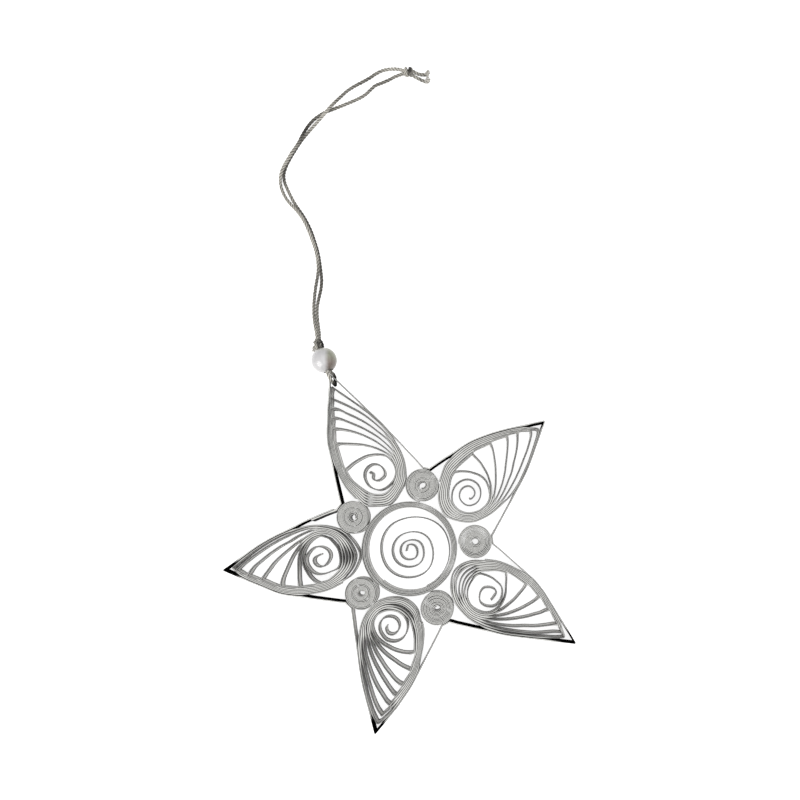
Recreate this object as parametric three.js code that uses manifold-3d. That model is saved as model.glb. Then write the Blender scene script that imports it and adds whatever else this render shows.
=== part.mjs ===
// Quilled paper star with a pearl bead and a hanging cord, in millimetres, +Z up.
// The star lies on its back edges at z = 0, with the tip that carries the cord towards +Y and
// the origin under the middle of its frame.

import * as THREE from 'three';
import { mergeVertices } from 'three/addons/utils/BufferGeometryUtils.js';
import Module from 'manifold-3d';

const wasm = await Module();
wasm.setup();

// Paper strip
const paper = 0.22;            // thickness of the strip
const stripDepth = 6;          // width of the strip, which is the depth of the star
const clearance = 0.3;         // glue gap between neighbouring pieces
const wallPitch = 0.67;        // from one wound turn to the next on a petal's folded wall
const vanePitch = 0.74;        // the same where its vanes lie side by side
const freeGap = 3;             // length of strip on which a fold is near itself
const leastStep = 0.05;        // points of a path nearer than this are one
const foldRoom = 1.2;          // no point of a wall comes nearer to its fold than this

// Centre ring
const ringRadius = 15;
const ringWall = 2;
const ringSeamAngle = 205;
const ringSpiralEye = [-0.1, -0.5];
const ringSpiralReach = [12.4, 10.2, 9.0, 8.4, 7.0, 5.7, 5.6, 5.1, 4.1, 3.2, 3.1, 2.8, 2.1, 1.9];
const ringHook = [-1.3, -0.1];

// Tight coils
const coilRadius = 5.2;
const coilEye = 0.75;          // radius of the hole left by the winding tool
const coils = [
  { name: 'tight_coil_1', bearing: 54.4, standOff: 0, folds: [62.6, 42.2] },
  { name: 'tight_coil_2', bearing: -18.2, standOff: 0.3, folds: [-5.1, -29.6] },
  { name: 'tight_coil_3', bearing: -89.6, standOff: 0, folds: [-72.1, -96.4] },
  { name: 'tight_coil_4', bearing: -162.2, standOff: 0, folds: [-146.6, -173] },
  { name: 'tight_coil_5', bearing: 126, standOff: 0, folds: [132.8, 107.4] },
];

// Petals, each in its own axes: y runs out from the middle of its foot, x to the right.
// left and right are the widest points of the outer turn, foot is where it comes nearest to
// the ring, and footPitch is the step from turn to turn there. pinch holds the height of each
// fold on the left wall and the slope in degrees at which the vane leaves it.
const petals = [
  {
    name: 'petal_1', axis: 90, apex: [-0.2, 45.4],
    left: [-10.2, 16.4], right: [10.1, 15], foot: 0.1, footPitch: 0.74, tip: [-1.0, 40.9], wallSlope: 58,
    pinch: [[40.9, -55], [37.4, -44], [34.7, -40], [31.8, -32], [28.9, -34], [24.1, -22], [15.1, 19]],
    innerRight: 12.2, eye: [-0.1, 10.0], reach: [4.8, 3.6, 3.5, 3.2, 2.0, 1.3], hook: [-0.6, 11.4],
  },
  {
    name: 'petal_2', axis: 18, apex: [-1.0, 43.0],
    left: [-12.1, 16.1], right: [9.6, 13.6], foot: -0.1, footPitch: 0.72, tip: [0, 39.8], wallSlope: 50,
    pinch: [[39.8, -55], [38.1, -56], [34.8, -46], [31.3, -42], [25.8, -25], [19.3, 4], [11.3, 58]],
    innerRight: 12.2, eye: [0.2, 9.8], reach: [5.0, 4.9, 4.4, 3.5, 3.1, 2.8, 2.3, 1.5], hook: [1.4, 9.3],
  },
  {
    name: 'petal_3', axis: -54, apex: [-0.1, 44.1],
    left: [-11.2, 15.8], right: [9.7, 14.3], foot: -0.4, footPitch: 0.86, tip: [0.1, 40.2], wallSlope: 56,
    pinch: [[40.2, -60], [38.6, -62], [36.6, -58], [31.7, -42], [27.4, -26], [22.1, -4], [14.8, 38]],
    innerRight: 13, eye: [0.1, 12.2], reach: [5.3, 4.9, 3.9, 3.6, 2.4, 2.4, 2.2], hook: [0.9, 14.2],
  },
  {
    name: 'petal_4', axis: -126, apex: [-1.3, 42.6],
    left: [-10.7, 14.2], right: [10, 13.2], foot: 0.2, footPitch: 0.72, tip: [-1.6, 39.5], wallSlope: 62,
    pinch: [[39.5, -58], [36.5, -46], [33.2, -38], [30, -36], [26.5, -32], [21.4, -14], [15.5, 10]],
    innerRight: 11.2, eye: [0.1, 9.3], reach: [4.6, 4.7, 4.5, 4.0, 2.9, 2.3, 2.4, 1.8], hook: [1.7, 9.0],
  },
  {
    name: 'petal_5', axis: 162, apex: [-0.1, 42.8],
    left: [-10.3, 15.8], right: [10.8, 14.8], foot: 0, footPitch: 0.8, tip: [0, 39.9], wallSlope: 60,
    pinch: [[39.9, -56], [38.6, -58], [35.4, -48], [31.3, -44], [25.1, -24], [19.7, -2], [13.1, 52]],
    innerRight: 12.6, eye: [-0.1, 11.2], reach: [5.2, 4.0, 4.0, 3.7, 2.7, 2.3, 2.6, 1.5], hook: [1.2, 10.5],
  },
];
const wallHandle = [0.42, 0.3];      // how far a wall runs straight at its foot and at its tip
const vaneHandle = [0.23, 0.36];     // the same for a vane, at its fold and at its end
const archHandle = [0.42, 0.43];     // the same for the last vane, which arches over the spiral
const quarterHandle = 0.5523;        // cubic handle of a quarter of an ellipse

// Frame strip
const tipLift = 1.8;                 // how far the cord under tip 1 lifts the frame there
const lapLength = 9.5;               // doubled stretch where the strip is closed
const lapStep = 1;                   // how far the inner end stops short of the outer one

// Hanger, in its own axes from tip 1 of the frame: x to the right, y outwards, z up from the
// surface that the star lies on.
const beadDiameter = 8;
const beadBore = 3.1;
const beadRoom = 1.4;                // from the tip to the bead
const beadCentre = [0, beadRoom + beadDiameter / 2, beadDiameter / 2];
const cordDiameter = 1.2;
const beadKnot = { length: 3.4, diameter: 3.4, centre: [0.35, 10.8, 3.6], turn: 90 };
const endKnot = { length: 4.1, diameter: 3.3, centre: [63.8, 81.5, 1.65], turn: -27 };

// Cord routes, chosen by hand. The bight goes down through the bead on the left, over the
// frame's left strip, down inside the tip, under the right strip and back into the bead.
const bight = [
  [-0.65, 8.5, 4.0], [-0.65, 5.4, 4.0], [-0.65, 2.4, 4.0], [-0.66, 1.5, 4.1], [-0.9, 0.8, 5.1],
  [-1.3, 0.3, 6.6], [-1.5, -0.4, 8.1], [-1.1, -1.4, 8.95], [-0.5, -2.4, 8.6], [-0.1, -2.95, 7.3],
  [-0.07, -3.05, 4.8], [-0.07, -3.0, 2.2],
  [0.25, -2.5, 0.85], [0.85, -1.6, 0.65], [1.45, -0.6, 0.9], [1.5, 0.2, 1.6],
  [1.05, 0.8, 2.8], [0.66, 1.5, 3.9], [0.65, 2.4, 4.0], [0.65, 5.4, 4.0], [0.65, 8.5, 4.0],
];
const strandLeft = [
  [-0.3, 12.6, 2.8], [-0.3, 15.6, 1.0], [0.8, 20.0, 0.65], [3.3, 23.8, 0.65], [6.8, 29.4, 0.65],
  [8.9, 33.4, 0.65], [10.4, 38.4, 0.65], [11.3, 44.6, 0.65], [11.1, 50.4, 0.65], [10.0, 56.4, 0.7],
  [9.8, 60.8, 1.2], [10.5, 65.6, 2.15], [13.6, 70.1, 2.15], [18.6, 74.1, 2.15], [23.5, 77.4, 2.15],
  [27.8, 79.8, 1.2], [32.4, 81.1, 0.65], [38.6, 81.0, 0.65], [44.6, 80.8, 0.65], [50.9, 81.8, 0.65],
  [56.2, 82.1, 0.65], [59.4, 82.2, 0.9], [61.5, 81.8, 1.5],
];
const strandRight = [
  [1.15, 12.6, 2.8], [1.7, 15.6, 1.0], [2.8, 19.6, 0.65], [5.2, 23.9, 0.65], [9.0, 29.2, 0.65],
  [10.7, 33.4, 0.65], [11.9, 38.1, 0.65], [12.8, 44.6, 0.65], [12.7, 50.6, 0.65], [11.7, 56.6, 0.65],
  [11.5, 60.8, 0.65], [11.4, 65.5, 0.65], [14.1, 69.6, 0.65], [19.0, 73.4, 0.65], [24.1, 76.5, 0.65],
  [28.8, 78.2, 0.8], [32.8, 80.3, 2.15], [36.4, 82.5, 2.0], [40.6, 84.2, 0.8], [46.6, 85.1, 0.65],
  [53.0, 85.4, 0.65], [57.9, 85.3, 0.7], [62.2, 83.4, 1.6],
];
const tailUpper = [[66.2, 81.0, 1.6], [68.2, 79.9, 1.0], [70.1, 79.4, 0.7], [71.4, 79.1, 0.65]];
const tailLower = [[65.5, 79.6, 1.6], [66.7, 78.0, 1.0], [68.0, 76.8, 0.7], [69.4, 76.1, 0.65]];

// Facets
const wallSteps = 7;
const vaneSteps = 6;
const quarterSteps = 5;
const stripStart = 3;                // points of the first quarter turn that a petal leaves out
const spiralSteps = 4;
const eyeSteps = 3;                  // quarter turns of a spiral nearer to its eye than eyeReach
const eyeReach = 3;
const guideSteps = 40;               // of the walls and vanes that the frame leans on
const ringSteps = 60;
const coilSteps = 36;
const coilEyeSteps = 12;
const beadSteps = [12, 24];          // along a bead's profile and round it
const knotSteps = [8, 12];
const cordSides = 8;
const bightSteps = 30;
const strandSteps = 24;
const tailSteps = 2;

const paperLook = { color: 0xb4b5b2, roughness: 0.42, metalness: 0.35 };
const cordLook = { color: 0x9c968c, roughness: 0.85, metalness: 0 };
const pearlLook = { color: 0xdad9dc, roughness: 0.25, metalness: 0.1 };

const star = new THREE.Group();
const body = new THREE.Group();
const hanger = new THREE.Group();
star.add(body);
body.add(hanger);
const v2 = (x, y) => new THREE.Vector2(x, y);
const radians = THREE.MathUtils.degToRad;
const sharpBend = radians(50);

function addPiece(parent, name, geometry, look) {
  const mesh = new THREE.Mesh(geometry, new THREE.MeshStandardMaterial(look));
  mesh.name = name;
  parent.add(mesh);
  return mesh;
}

function onBearing(degrees, distance) {
  return v2(Math.cos(radians(degrees)) * distance, Math.sin(radians(degrees)) * distance);
}

function bezier(a, b, c, d, steps) {
  return new THREE.CubicBezierCurve(a, b, c, d).getPoints(steps);
}

// Quarter turn between two points whose tangents are upright and level, or level and upright.
function quarterTurn(from, to, uprightFirst, steps) {
  const dx = (to.x - from.x) * quarterHandle;
  const dy = (to.y - from.y) * quarterHandle;
  const leave = uprightFirst ? v2(from.x, from.y + dy) : v2(from.x + dx, from.y);
  const arrive = uprightFirst ? v2(to.x - dx, to.y) : v2(to.x, to.y - dy);
  return bezier(from, leave, arrive, to, steps);
}

function append(path, points) {
  for (const point of points) {
    const last = path[path.length - 1];
    if (!last || last.distanceTo(point) > leastStep) path.push(point);
  }
}

// Path moved sideways by distance, to the left of its direction when distance is positive.
function sideways(points, distance) {
  return points.map((point, i) => {
    const before = points[Math.max(i - 1, 0)];
    const after = points[Math.min(i + 1, points.length - 1)];
    const along = after.clone().sub(before).normalize();
    return v2(point.x - along.y * distance, point.y + along.x * distance);
  });
}

// Outline of a strip seen on edge: mitred inside each bend and cut flat outside a sharp fold.
function stripOutline(path, thickness) {
  const leftSide = [];
  const rightSide = [];
  const half = thickness / 2;
  path.forEach((point, i) => {
    const into = point.clone().sub(path[Math.max(i - 1, 0)]);
    const outOf = path[Math.min(i + 1, path.length - 1)].clone().sub(point);
    if (i === 0) into.copy(outOf);
    if (i === path.length - 1) outOf.copy(into);
    into.normalize();
    outOf.normalize();
    const turn = Math.atan2(into.cross(outOf), into.dot(outOf));
    const normalIn = v2(-into.y, into.x);
    const normalOut = v2(-outOf.y, outOf.x);
    const middle = normalIn.clone().add(normalOut).normalize();
    const bendsLeft = turn >= 0;
    const inner = bendsLeft ? leftSide : rightSide;
    const outer = bendsLeft ? rightSide : leftSide;
    const away = bendsLeft ? -half : half;
    inner.push(point.clone().addScaledVector(middle, -away / Math.cos(turn / 2)));
    if (Math.abs(turn) > sharpBend) {
      outer.push(point.clone().addScaledVector(normalIn, away));
      outer.push(point.clone().addScaledVector(normalOut, away));
    } else {
      outer.push(point.clone().addScaledVector(middle, away / Math.cos(turn / 2)));
    }
  });
  return leftSide.concat(rightSide.reverse());
}

function extrudeOutline(outline, holes = []) {
  const shape = new THREE.Shape(outline);
  holes.forEach((hole) => shape.holes.push(new THREE.Path(hole)));
  return new THREE.ExtrudeGeometry(shape, { depth: stripDepth, bevelEnabled: false, steps: 1 });
}

function distanceToSegment(point, a, b) {
  const line = new THREE.Line3(new THREE.Vector3(a.x, a.y, 0), new THREE.Vector3(b.x, b.y, 0));
  const spot = new THREE.Vector3(point.x, point.y, 0);
  return line.closestPointToPoint(spot, true, new THREE.Vector3()).distanceTo(spot);
}

// Least gap of a wound strip to itself, measured from points on one stretch to another.
function leastGap(path, thickness) {
  const along = [0];
  for (let i = 1; i < path.length; i += 1) along.push(along[i - 1] + path[i].distanceTo(path[i - 1]));
  let least = Infinity;
  for (let i = 0; i < path.length; i += 1) {
    for (let j = 0; j < path.length - 1; j += 1) {
      const apart = Math.min(Math.abs(along[i] - along[j]), Math.abs(along[i] - along[j + 1]));
      if (apart > freeGap) least = Math.min(least, distanceToSegment(path[i], path[j], path[j + 1]));
    }
  }
  return least - thickness;
}

// Loose spiral: quarter turns about its eye, each ending at the next reach.
function spiralPath(start, eye, reach, firstSide, hook, clockwise) {
  const sides = clockwise ? ['bottom', 'left', 'top', 'right'] : ['right', 'top', 'left', 'bottom'];
  const place = {
    bottom: (r) => v2(eye[0], eye[1] - r),
    left: (r) => v2(eye[0] - r, eye[1]),
    top: (r) => v2(eye[0], eye[1] + r),
    right: (r) => v2(eye[0] + r, eye[1]),
  };
  const path = [];
  let from = start;
  reach.forEach((r, i) => {
    const side = sides[(sides.indexOf(firstSide) + i) % 4];
    const to = place[side](r);
    const upright = side === 'bottom' || side === 'top';
    append(path, quarterTurn(from, to, upright, r > eyeReach ? spiralSteps : eyeSteps));
    from = to;
  });
  append(path, [v2(hook[0], hook[1])]);
  return path;
}

const footOf = (petal, layer) => v2(petal.foot, petal.footPitch * layer);
const widestOf = (petal, layer) => v2(petal.left[0] + wallPitch * layer, petal.left[1]);

// Left wall of a petal, layer 0 outermost, from its widest point to the height of the tip.
function petalWall(petal, layer, steps) {
  const foot = v2(petal.left[0], petal.left[1]);
  const tip = v2(petal.tip[0], petal.tip[1]);
  const rise = tip.y - foot.y;
  const slope = onBearing(petal.wallSlope, rise * wallHandle[1]);
  const base = bezier(foot, v2(foot.x, foot.y + rise * wallHandle[0]), tip.clone().sub(slope), tip, steps);
  return sideways(base, -wallPitch * layer);
}

// Climb of one turn from the foot up the left side, cut at the height of its fold.
function petalClimb(petal, layer) {
  const quarter = quarterTurn(footOf(petal, layer - 1), widestOf(petal, layer), false, quarterSteps);
  const climb = quarter.concat(petalWall(petal, layer, wallSteps).slice(1));
  const top = petal.pinch[layer][0];
  const above = climb.findIndex((point) => point.y >= top);
  const a = climb[above - 1];
  const b = climb[above];
  const fold = a.clone().lerp(b, (top - a.y) / (b.y - a.y));
  const kept = climb.slice(0, above).filter((point) => point.distanceTo(fold) > foldRoom);
  kept.push(fold);
  return kept;
}

function petalVane(petal, k, fold, steps) {
  const inward = k / (petal.pinch.length - 1);
  const height = THREE.MathUtils.lerp(petal.right[1], petal.innerRight, inward);
  const end = v2(petal.right[0] - vanePitch * k, height);
  const span = end.distanceTo(fold);
  const handle = inward < 1 ? vaneHandle : archHandle;
  const leave = fold.clone().add(onBearing(petal.pinch[k][1], span * handle[0]));
  const arrive = v2(end.x, end.y + span * handle[1]);
  return bezier(fold, leave, arrive, end, steps);
}

// One unbroken strip: up the left wall, fold, vane, round the foot, and so on into the spiral.
// It starts partway up its first climb, beside the foot.
function petalPath(petal) {
  const path = [];
  const last = petal.pinch.length - 1;
  append(path, petalClimb(petal, 0).slice(stripStart));
  for (let k = 0; k <= last; k += 1) {
    const vane = petalVane(petal, k, path[path.length - 1], vaneSteps);
    append(path, vane);
    const widest = vane[vane.length - 1];
    if (k < last) {
      append(path, quarterTurn(widest, footOf(petal, k), true, quarterSteps));
      append(path, petalClimb(petal, k + 1));
    } else {
      append(path, spiralPath(widest, petal.eye, petal.reach, 'bottom', petal.hook, true));
    }
  }
  return path;
}

// Places a petal's own axes on the star.
function toStar(petal, point) {
  const seat = ringRadius + clearance + paper / 2;
  const out = onBearing(petal.axis, 1);
  const y = seat + point.y;
  return v2(out.y * point.x + out.x * y, -out.x * point.x + out.y * y);
}

petals.forEach((petal) => {
  const path = petalPath(petal);
  console.log(petal.name, 'least gap', leastGap(path, paper).toFixed(3), 'mm, points', path.length);
  const outline = stripOutline(path.map((point) => toStar(petal, point)), paper);
  addPiece(body, petal.name, extrudeOutline(outline), paperLook);
});

// Outline of a wound disc or ring, whose last turn of strip ends in a step.
function woundEdge(radius, seamAngle, steps) {
  const points = [];
  for (let i = 0; i <= steps; i += 1) {
    const share = i / steps;
    points.push(onBearing(seamAngle + share * 360, radius - paper * (1 - share)));
  }
  return points;
}

function circle(radius, steps) {
  const points = [];
  for (let i = 0; i < steps; i += 1) points.push(onBearing((-i / steps) * 360, radius));
  return points;
}

function toManifold(geometry) {
  const bare = geometry.clone();
  bare.deleteAttribute('normal');
  bare.deleteAttribute('uv');
  const merged = mergeVertices(bare, 1e-5);
  const triVerts = new Uint32Array(merged.index.array);
  const vertProperties = new Float32Array(merged.attributes.position.array);
  return new wasm.Manifold(new wasm.Mesh({ numProp: 3, vertProperties, triVerts }));
}

function fromManifold(solid) {
  const mesh = solid.getMesh();
  const geometry = new THREE.BufferGeometry();
  geometry.setAttribute('position', new THREE.BufferAttribute(mesh.vertProperties, 3));
  geometry.setIndex(new THREE.BufferAttribute(mesh.triVerts, 1));
  geometry.computeVertexNormals();
  return geometry;
}

function centreRing() {
  const inner = ringRadius - ringWall;
  const wall = extrudeOutline(woundEdge(ringRadius, ringSeamAngle, ringSteps), [circle(inner, ringSteps)]);
  const start = v2(0, -inner - paper);
  const path = spiralPath(start, ringSpiralEye, ringSpiralReach, 'right', ringHook, false);
  const free = path.slice(spiralSteps - 1);
  console.log('centre_ring least gap', leastGap(free, paper).toFixed(3), 'mm, points', path.length);
  const spiral = extrudeOutline(stripOutline(path, paper));
  return fromManifold(toManifold(wall).add(toManifold(spiral)));
}
addPiece(body, 'centre_ring', centreRing(), paperLook);

const coilSeat = (coil) => onBearing(coil.bearing, ringRadius + clearance + coilRadius + coil.standOff);
coils.forEach((coil) => {
  const edge = woundEdge(coilRadius, coil.bearing + 180, coilSteps);
  const centre = coilSeat(coil);
  const mesh = addPiece(body, coil.name, extrudeOutline(edge, [circle(coilEye, coilEyeSteps)]), paperLook);
  mesh.position.set(centre.x, centre.y, 0);
});

// Strip pulled tight from one point to another round a wall that it leans on.
function tautStrip(from, wall, to) {
  const axis = to.clone().sub(from).normalize();
  const height = (point) => axis.cross(point.clone().sub(from));
  const side = Math.sign(wall.reduce((sum, point) => sum + height(point), 0));
  const reach = (point) => point.clone().sub(from).dot(axis);
  const points = [from, ...wall, to].filter((point) => height(point) * side > -0.01);
  points.sort((a, b) => reach(a) - reach(b));
  const hull = [];
  points.forEach((point) => {
    while (hull.length > 1) {
      const a = hull[hull.length - 2];
      const b = hull[hull.length - 1];
      const bend = b.clone().sub(a).cross(point.clone().sub(b)) * side;
      if (bend < 0) break;
      hull.pop();
    }
    hull.push(point);
  });
  return hull;
}

// The two folds of the frame strip outside a coil, on their bearings from its centre.
function coilFolds(coil) {
  const out = coilRadius + clearance + paper / 2;
  return coil.folds.map((bearing) => coilSeat(coil).add(onBearing(bearing, out)));
}

function frameTip(petal) {
  return toStar(petal, v2(petal.apex[0], petal.apex[1]));
}

// The frame runs clockwise from its seam beside tip 5, round all five tips, to the lap.
function framePath() {
  const path = [];
  const away = clearance + paper;
  let corner = coilFolds(coils[4])[1];
  petals.forEach((petal, i) => {
    const tip = frameTip(petal);
    const wall = sideways(petalWall(petal, 0, guideSteps), away).map((point) => toStar(petal, point));
    const vane = sideways(petalVane(petal, 0, v2(petal.tip[0], petal.tip[1]), guideSteps), away);
    const shoulder = vane.map((point) => toStar(petal, point));
    const nextCorner = coilFolds(coils[i])[0];
    append(path, tautStrip(corner, wall, tip));
    append(path, tautStrip(tip, shoulder, nextCorner));
    if (i < petals.length - 1) append(path, [coilFolds(coils[i])[1]]);
    corner = coilFolds(coils[i])[1];
  });
  const seam = path[path.length - 1];
  const toTip = path[path.length - 2].clone().sub(seam).normalize();
  const lapSide = v2(toTip.y, -toTip.x);
  const lapGap = paper + clearance;
  const onLap = (along) => seam.clone().addScaledVector(toTip, along);
  path.pop();
  path.push(onLap(lapLength).addScaledVector(lapSide, lapGap));
  path.push(onLap(lapStep).addScaledVector(lapSide, lapGap));
  path.unshift(onLap(lapLength - lapStep), seam);
  return path;
}

function starFrame() {
  const path = framePath();
  const geometry = extrudeOutline(stripOutline(path, paper));
  const tip = frameTip(petals[0]);
  const reach = tip.distanceTo(coilFolds(coils[0])[0]);
  const position = geometry.attributes.position;
  for (let i = 0; i < position.count; i += 1) {
    const away = tip.distanceTo(v2(position.getX(i), position.getY(i)));
    const share = Math.max(0, 1 - away / reach);
    position.setZ(i, position.getZ(i) + tipLift * share * Math.sqrt(share));
  }
  return geometry;
}
const frame = addPiece(body, 'star_frame', starFrame(), paperLook);

function pearlBead() {
  const radius = beadDiameter / 2;
  const bore = beadBore / 2;
  const start = Math.acos(bore / radius);
  const profile = [];
  for (let i = 0; i <= beadSteps[0]; i += 1) {
    const angle = THREE.MathUtils.lerp(-start, start, i / beadSteps[0]);
    profile.push(v2(Math.cos(angle) * radius, Math.sin(angle) * radius));
  }
  profile.push(profile[0].clone());
  return new THREE.LatheGeometry(profile, beadSteps[1]);
}
addPiece(hanger, 'pearl_bead', pearlBead(), pearlLook).position.set(...beadCentre);

function cordTube(name, route, steps) {
  const section = [];
  for (let i = 0; i < cordSides; i += 1) section.push(onBearing((i / cordSides) * 360, cordDiameter / 2));
  const points = route.map((point) => new THREE.Vector3(...point));
  const curve = new THREE.CatmullRomCurve3(points, false, 'centripetal');
  console.log(name, curve.getLength().toFixed(1), 'mm');
  const settings = { extrudePath: curve, steps, bevelEnabled: false };
  addPiece(hanger, name, new THREE.ExtrudeGeometry(new THREE.Shape(section), settings), cordLook);
}

function cordKnot(name, size) {
  const profile = [];
  for (let i = 0; i <= knotSteps[0]; i += 1) {
    const angle = Math.PI * (i / knotSteps[0] - 0.5);
    const onAxis = i === 0 || i === knotSteps[0];
    profile.push(v2(onAxis ? 0 : Math.cos(angle) * size.diameter / 2, Math.sin(angle) * size.length / 2));
  }
  const mesh = addPiece(hanger, name, new THREE.LatheGeometry(profile, knotSteps[1]), cordLook);
  mesh.position.set(...size.centre);
  mesh.rotation.z = radians(size.turn - 90);
}

cordTube('cord_bight', bight, bightSteps);
cordKnot('bead_knot', beadKnot);
cordTube('cord_strand_left', strandLeft, strandSteps);
cordTube('cord_strand_right', strandRight, strandSteps);
cordKnot('end_knot', endKnot);
cordTube('cord_tail_upper', tailUpper, tailSteps);
cordTube('cord_tail_lower', tailLower, tailSteps);

frame.geometry.computeBoundingBox();
const middle = frame.geometry.boundingBox.getCenter(new THREE.Vector3());
const tip = frameTip(petals[0]);
body.position.set(-middle.x, -middle.y, 0);
hanger.position.set(tip.x, tip.y, 0);

export default star;
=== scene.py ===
"""Dresses the quilled paper star, its pearl bead and its twisted hanging cord.

Every length is in millimetres until a mesh is made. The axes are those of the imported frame: the star
lies on its back edges at z = 0 with its corded tip towards +Y. Tables of points are flat rows of numbers.
"""

import logging
import math
from dataclasses import dataclass
from enum import Enum
from typing import Any, Callable, ClassVar, Iterable, Sequence

import bmesh
import bpy
import numpy as np
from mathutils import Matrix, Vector
from mathutils.kdtree import KDTree


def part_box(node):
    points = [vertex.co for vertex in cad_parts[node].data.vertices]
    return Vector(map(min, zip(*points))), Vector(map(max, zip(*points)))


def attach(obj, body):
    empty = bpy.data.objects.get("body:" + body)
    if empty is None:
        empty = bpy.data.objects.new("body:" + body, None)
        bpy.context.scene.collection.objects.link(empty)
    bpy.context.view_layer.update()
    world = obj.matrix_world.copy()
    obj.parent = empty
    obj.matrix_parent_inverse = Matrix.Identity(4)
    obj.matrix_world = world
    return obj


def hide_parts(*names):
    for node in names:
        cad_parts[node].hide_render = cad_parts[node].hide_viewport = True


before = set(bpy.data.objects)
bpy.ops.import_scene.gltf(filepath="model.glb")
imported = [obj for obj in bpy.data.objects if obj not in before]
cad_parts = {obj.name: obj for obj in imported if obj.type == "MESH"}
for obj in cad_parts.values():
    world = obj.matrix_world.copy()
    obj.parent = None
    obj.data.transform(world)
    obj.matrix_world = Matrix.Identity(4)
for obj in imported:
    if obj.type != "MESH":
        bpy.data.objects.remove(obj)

MM = 0.001
LOG = logging.getLogger("paper_star")
Line = np.ndarray
Point = Sequence[float]
Colour = tuple[float, float, float]
WHITE: Colour = (1, 1, 1)

ELLIPSE_HANDLE = 0.5523  # a quarter ellipse's handle, as a share of its half axis
CURVE_STEPS = 16  # fine steps from one route point to the next
LEAST_STEP = 0.05  # points of a joined path nearer than this are one
SHARP = 40.0  # degrees from which a corner is a fold
ARC_STEP = 16.0  # degrees from one point of a fold's arc to the next
FOLD_SHARE = 0.8  # of the stretches beside a fold, the most that its arc takes
FOLD_PUSH = 0.8  # how far a fold's arc may be pushed out to its corner
NEAR = 0.95  # strips farther apart than this are no neighbours
NEAR_FADE = 0.3
OWN_STRETCH = 2.2  # length of its own strip that isn't a point's neighbour
ABREAST = 0.7  # least share of the distance to a neighbour that is straight aside
SLACK = 0.01  # how far inside a straight line a strip may still lean on a wall


def points(numbers: Sequence[float], width: int = 2) -> list[Line]:
    """The points of a flat table, which has this many numbers in a row."""
    return list(np.reshape(numbers, (-1, width)).astype(float))


def spun(line: Line, radians: float) -> Line:
    """Flat points turned about the origin."""
    c, s = math.cos(radians), math.sin(radians)
    return line @ np.array([[c, s], [-s, c]])


def on_bearing(degrees: float, distance: float) -> Line:
    """A point at this distance from the origin, on this bearing from +X."""
    return spun(np.array([distance, 0.0]), math.radians(degrees))


def lengths(line: Line) -> Line:
    """Length of a path up to each of its points."""
    return np.concatenate([[0], np.cumsum(np.linalg.norm(np.diff(line, axis=0), axis=1))])


def distances(line: Line, point: Line) -> Line:
    """Distance from each point of a path to one point."""
    return np.linalg.norm(line - point, axis=1)


def unit(values: Line) -> Line:
    """Values kept between 0 and 1."""
    return np.clip(values, 0, 1)


def cubic(a: Point, b: Point, c: Point, d: Point, steps: int) -> Line:
    """Samples a cubic curve.

    Args:
        a: Start.
        b: Handle of the start.
        c: Handle of the end.
        d: End.
        steps: How many stretches it has.

    Returns:
        The points, both ends among them.
    """
    t = np.linspace(0, 1, steps + 1)[:, None]
    a, b, c, d = (np.asarray(p, float) for p in (a, b, c, d))
    return a * (1 - t) ** 3 + 3 * b * t * (1 - t) ** 2 + 3 * c * t * t * (1 - t) + d * t**3


def beside(line: Line, distance: float) -> Line:
    """Moves a path sideways.

    Args:
        line: The path.
        distance: How far, to the left of its direction.

    Returns:
        The moved path.
    """
    padded = np.vstack([line[:1], line, line[-1:]])
    along = padded[2:] - padded[:-2]
    along /= np.linalg.norm(along, axis=1)[:, None]
    return line + np.column_stack([-along[:, 1], along[:, 0]]) * distance


def joined(parts: Iterable[Iterable[Line]]) -> Line:
    """Joins paths end to end.

    Args:
        parts: The paths.

    Returns:
        One path.
    """
    out: list[Line] = []
    for part in parts:
        for point in part:
            if not out or np.linalg.norm(out[-1] - point) > LEAST_STEP:
                out.append(point)
    return np.array(out)


def with_round_folds(line: Line, radius: float) -> Line:
    """Turns each sharp corner of a flat path into a small arc, as folded paper has.

    Args:
        line: The path.
        radius: Radius of a fold.

    Returns:
        The path with its arcs.
    """
    out = [line[0]]
    for before, corner, after in zip(line[:-2], line[1:-1], line[2:]):
        into, away = corner - before, after - corner
        length_in, length_out = np.linalg.norm(into), np.linalg.norm(away)
        into, away = into / length_in, away / length_out
        turn = math.atan2(into[0] * away[1] - into[1] * away[0], float(into @ away))
        if abs(turn) < math.radians(SHARP):
            out.append(corner)
            continue
        half = abs(turn) / 2
        tangent = min(radius * math.tan(half), FOLD_SHARE * length_in, FOLD_SHARE * length_out)
        true_radius = tangent / math.tan(half)
        outwards = (into - away) / np.linalg.norm(into - away)
        push = min(true_radius * (1 / math.cos(half) - 1), FOLD_PUSH)
        arm = np.array([into[1], -into[0]]) * math.copysign(true_radius, turn)
        centre = corner + outwards * push - into * tangent - arm
        count = max(3, math.ceil(math.degrees(abs(turn)) / ARC_STEP))
        out.extend(centre + spun(arm, angle) for angle in np.linspace(0, turn, count + 1))
    out.append(line[-1])
    return np.array(out)


def loose_spiral(start: Point, eye: Point, reach: Sequence[float], hook: Point, steps: int) -> Line:
    """A spiral of elliptic quarter turns, anticlockwise from a start straight below its eye.

    Args:
        start: Where it starts.
        eye: Its middle.
        reach: Distance from the eye at each quarter.
        hook: Where the strip's end points.
        steps: Stretches of a quarter turn.

    Returns:
        The points.
    """
    here, parts = np.array(start, float), []
    for i, distance in enumerate(reach):
        there = np.array(eye) + np.array(((1, 0), (0, 1), (-1, 0), (0, -1))[i % 4]) * distance
        dx, dy = (there - here) * ELLIPSE_HANDLE
        first, last = ((0, dy), (dx, 0)) if i % 2 else ((dx, 0), (0, dy))
        parts.append(cubic(here, here + first, there - last, there, steps))
        here = there
    return joined([*parts, np.array([hook])])


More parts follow.
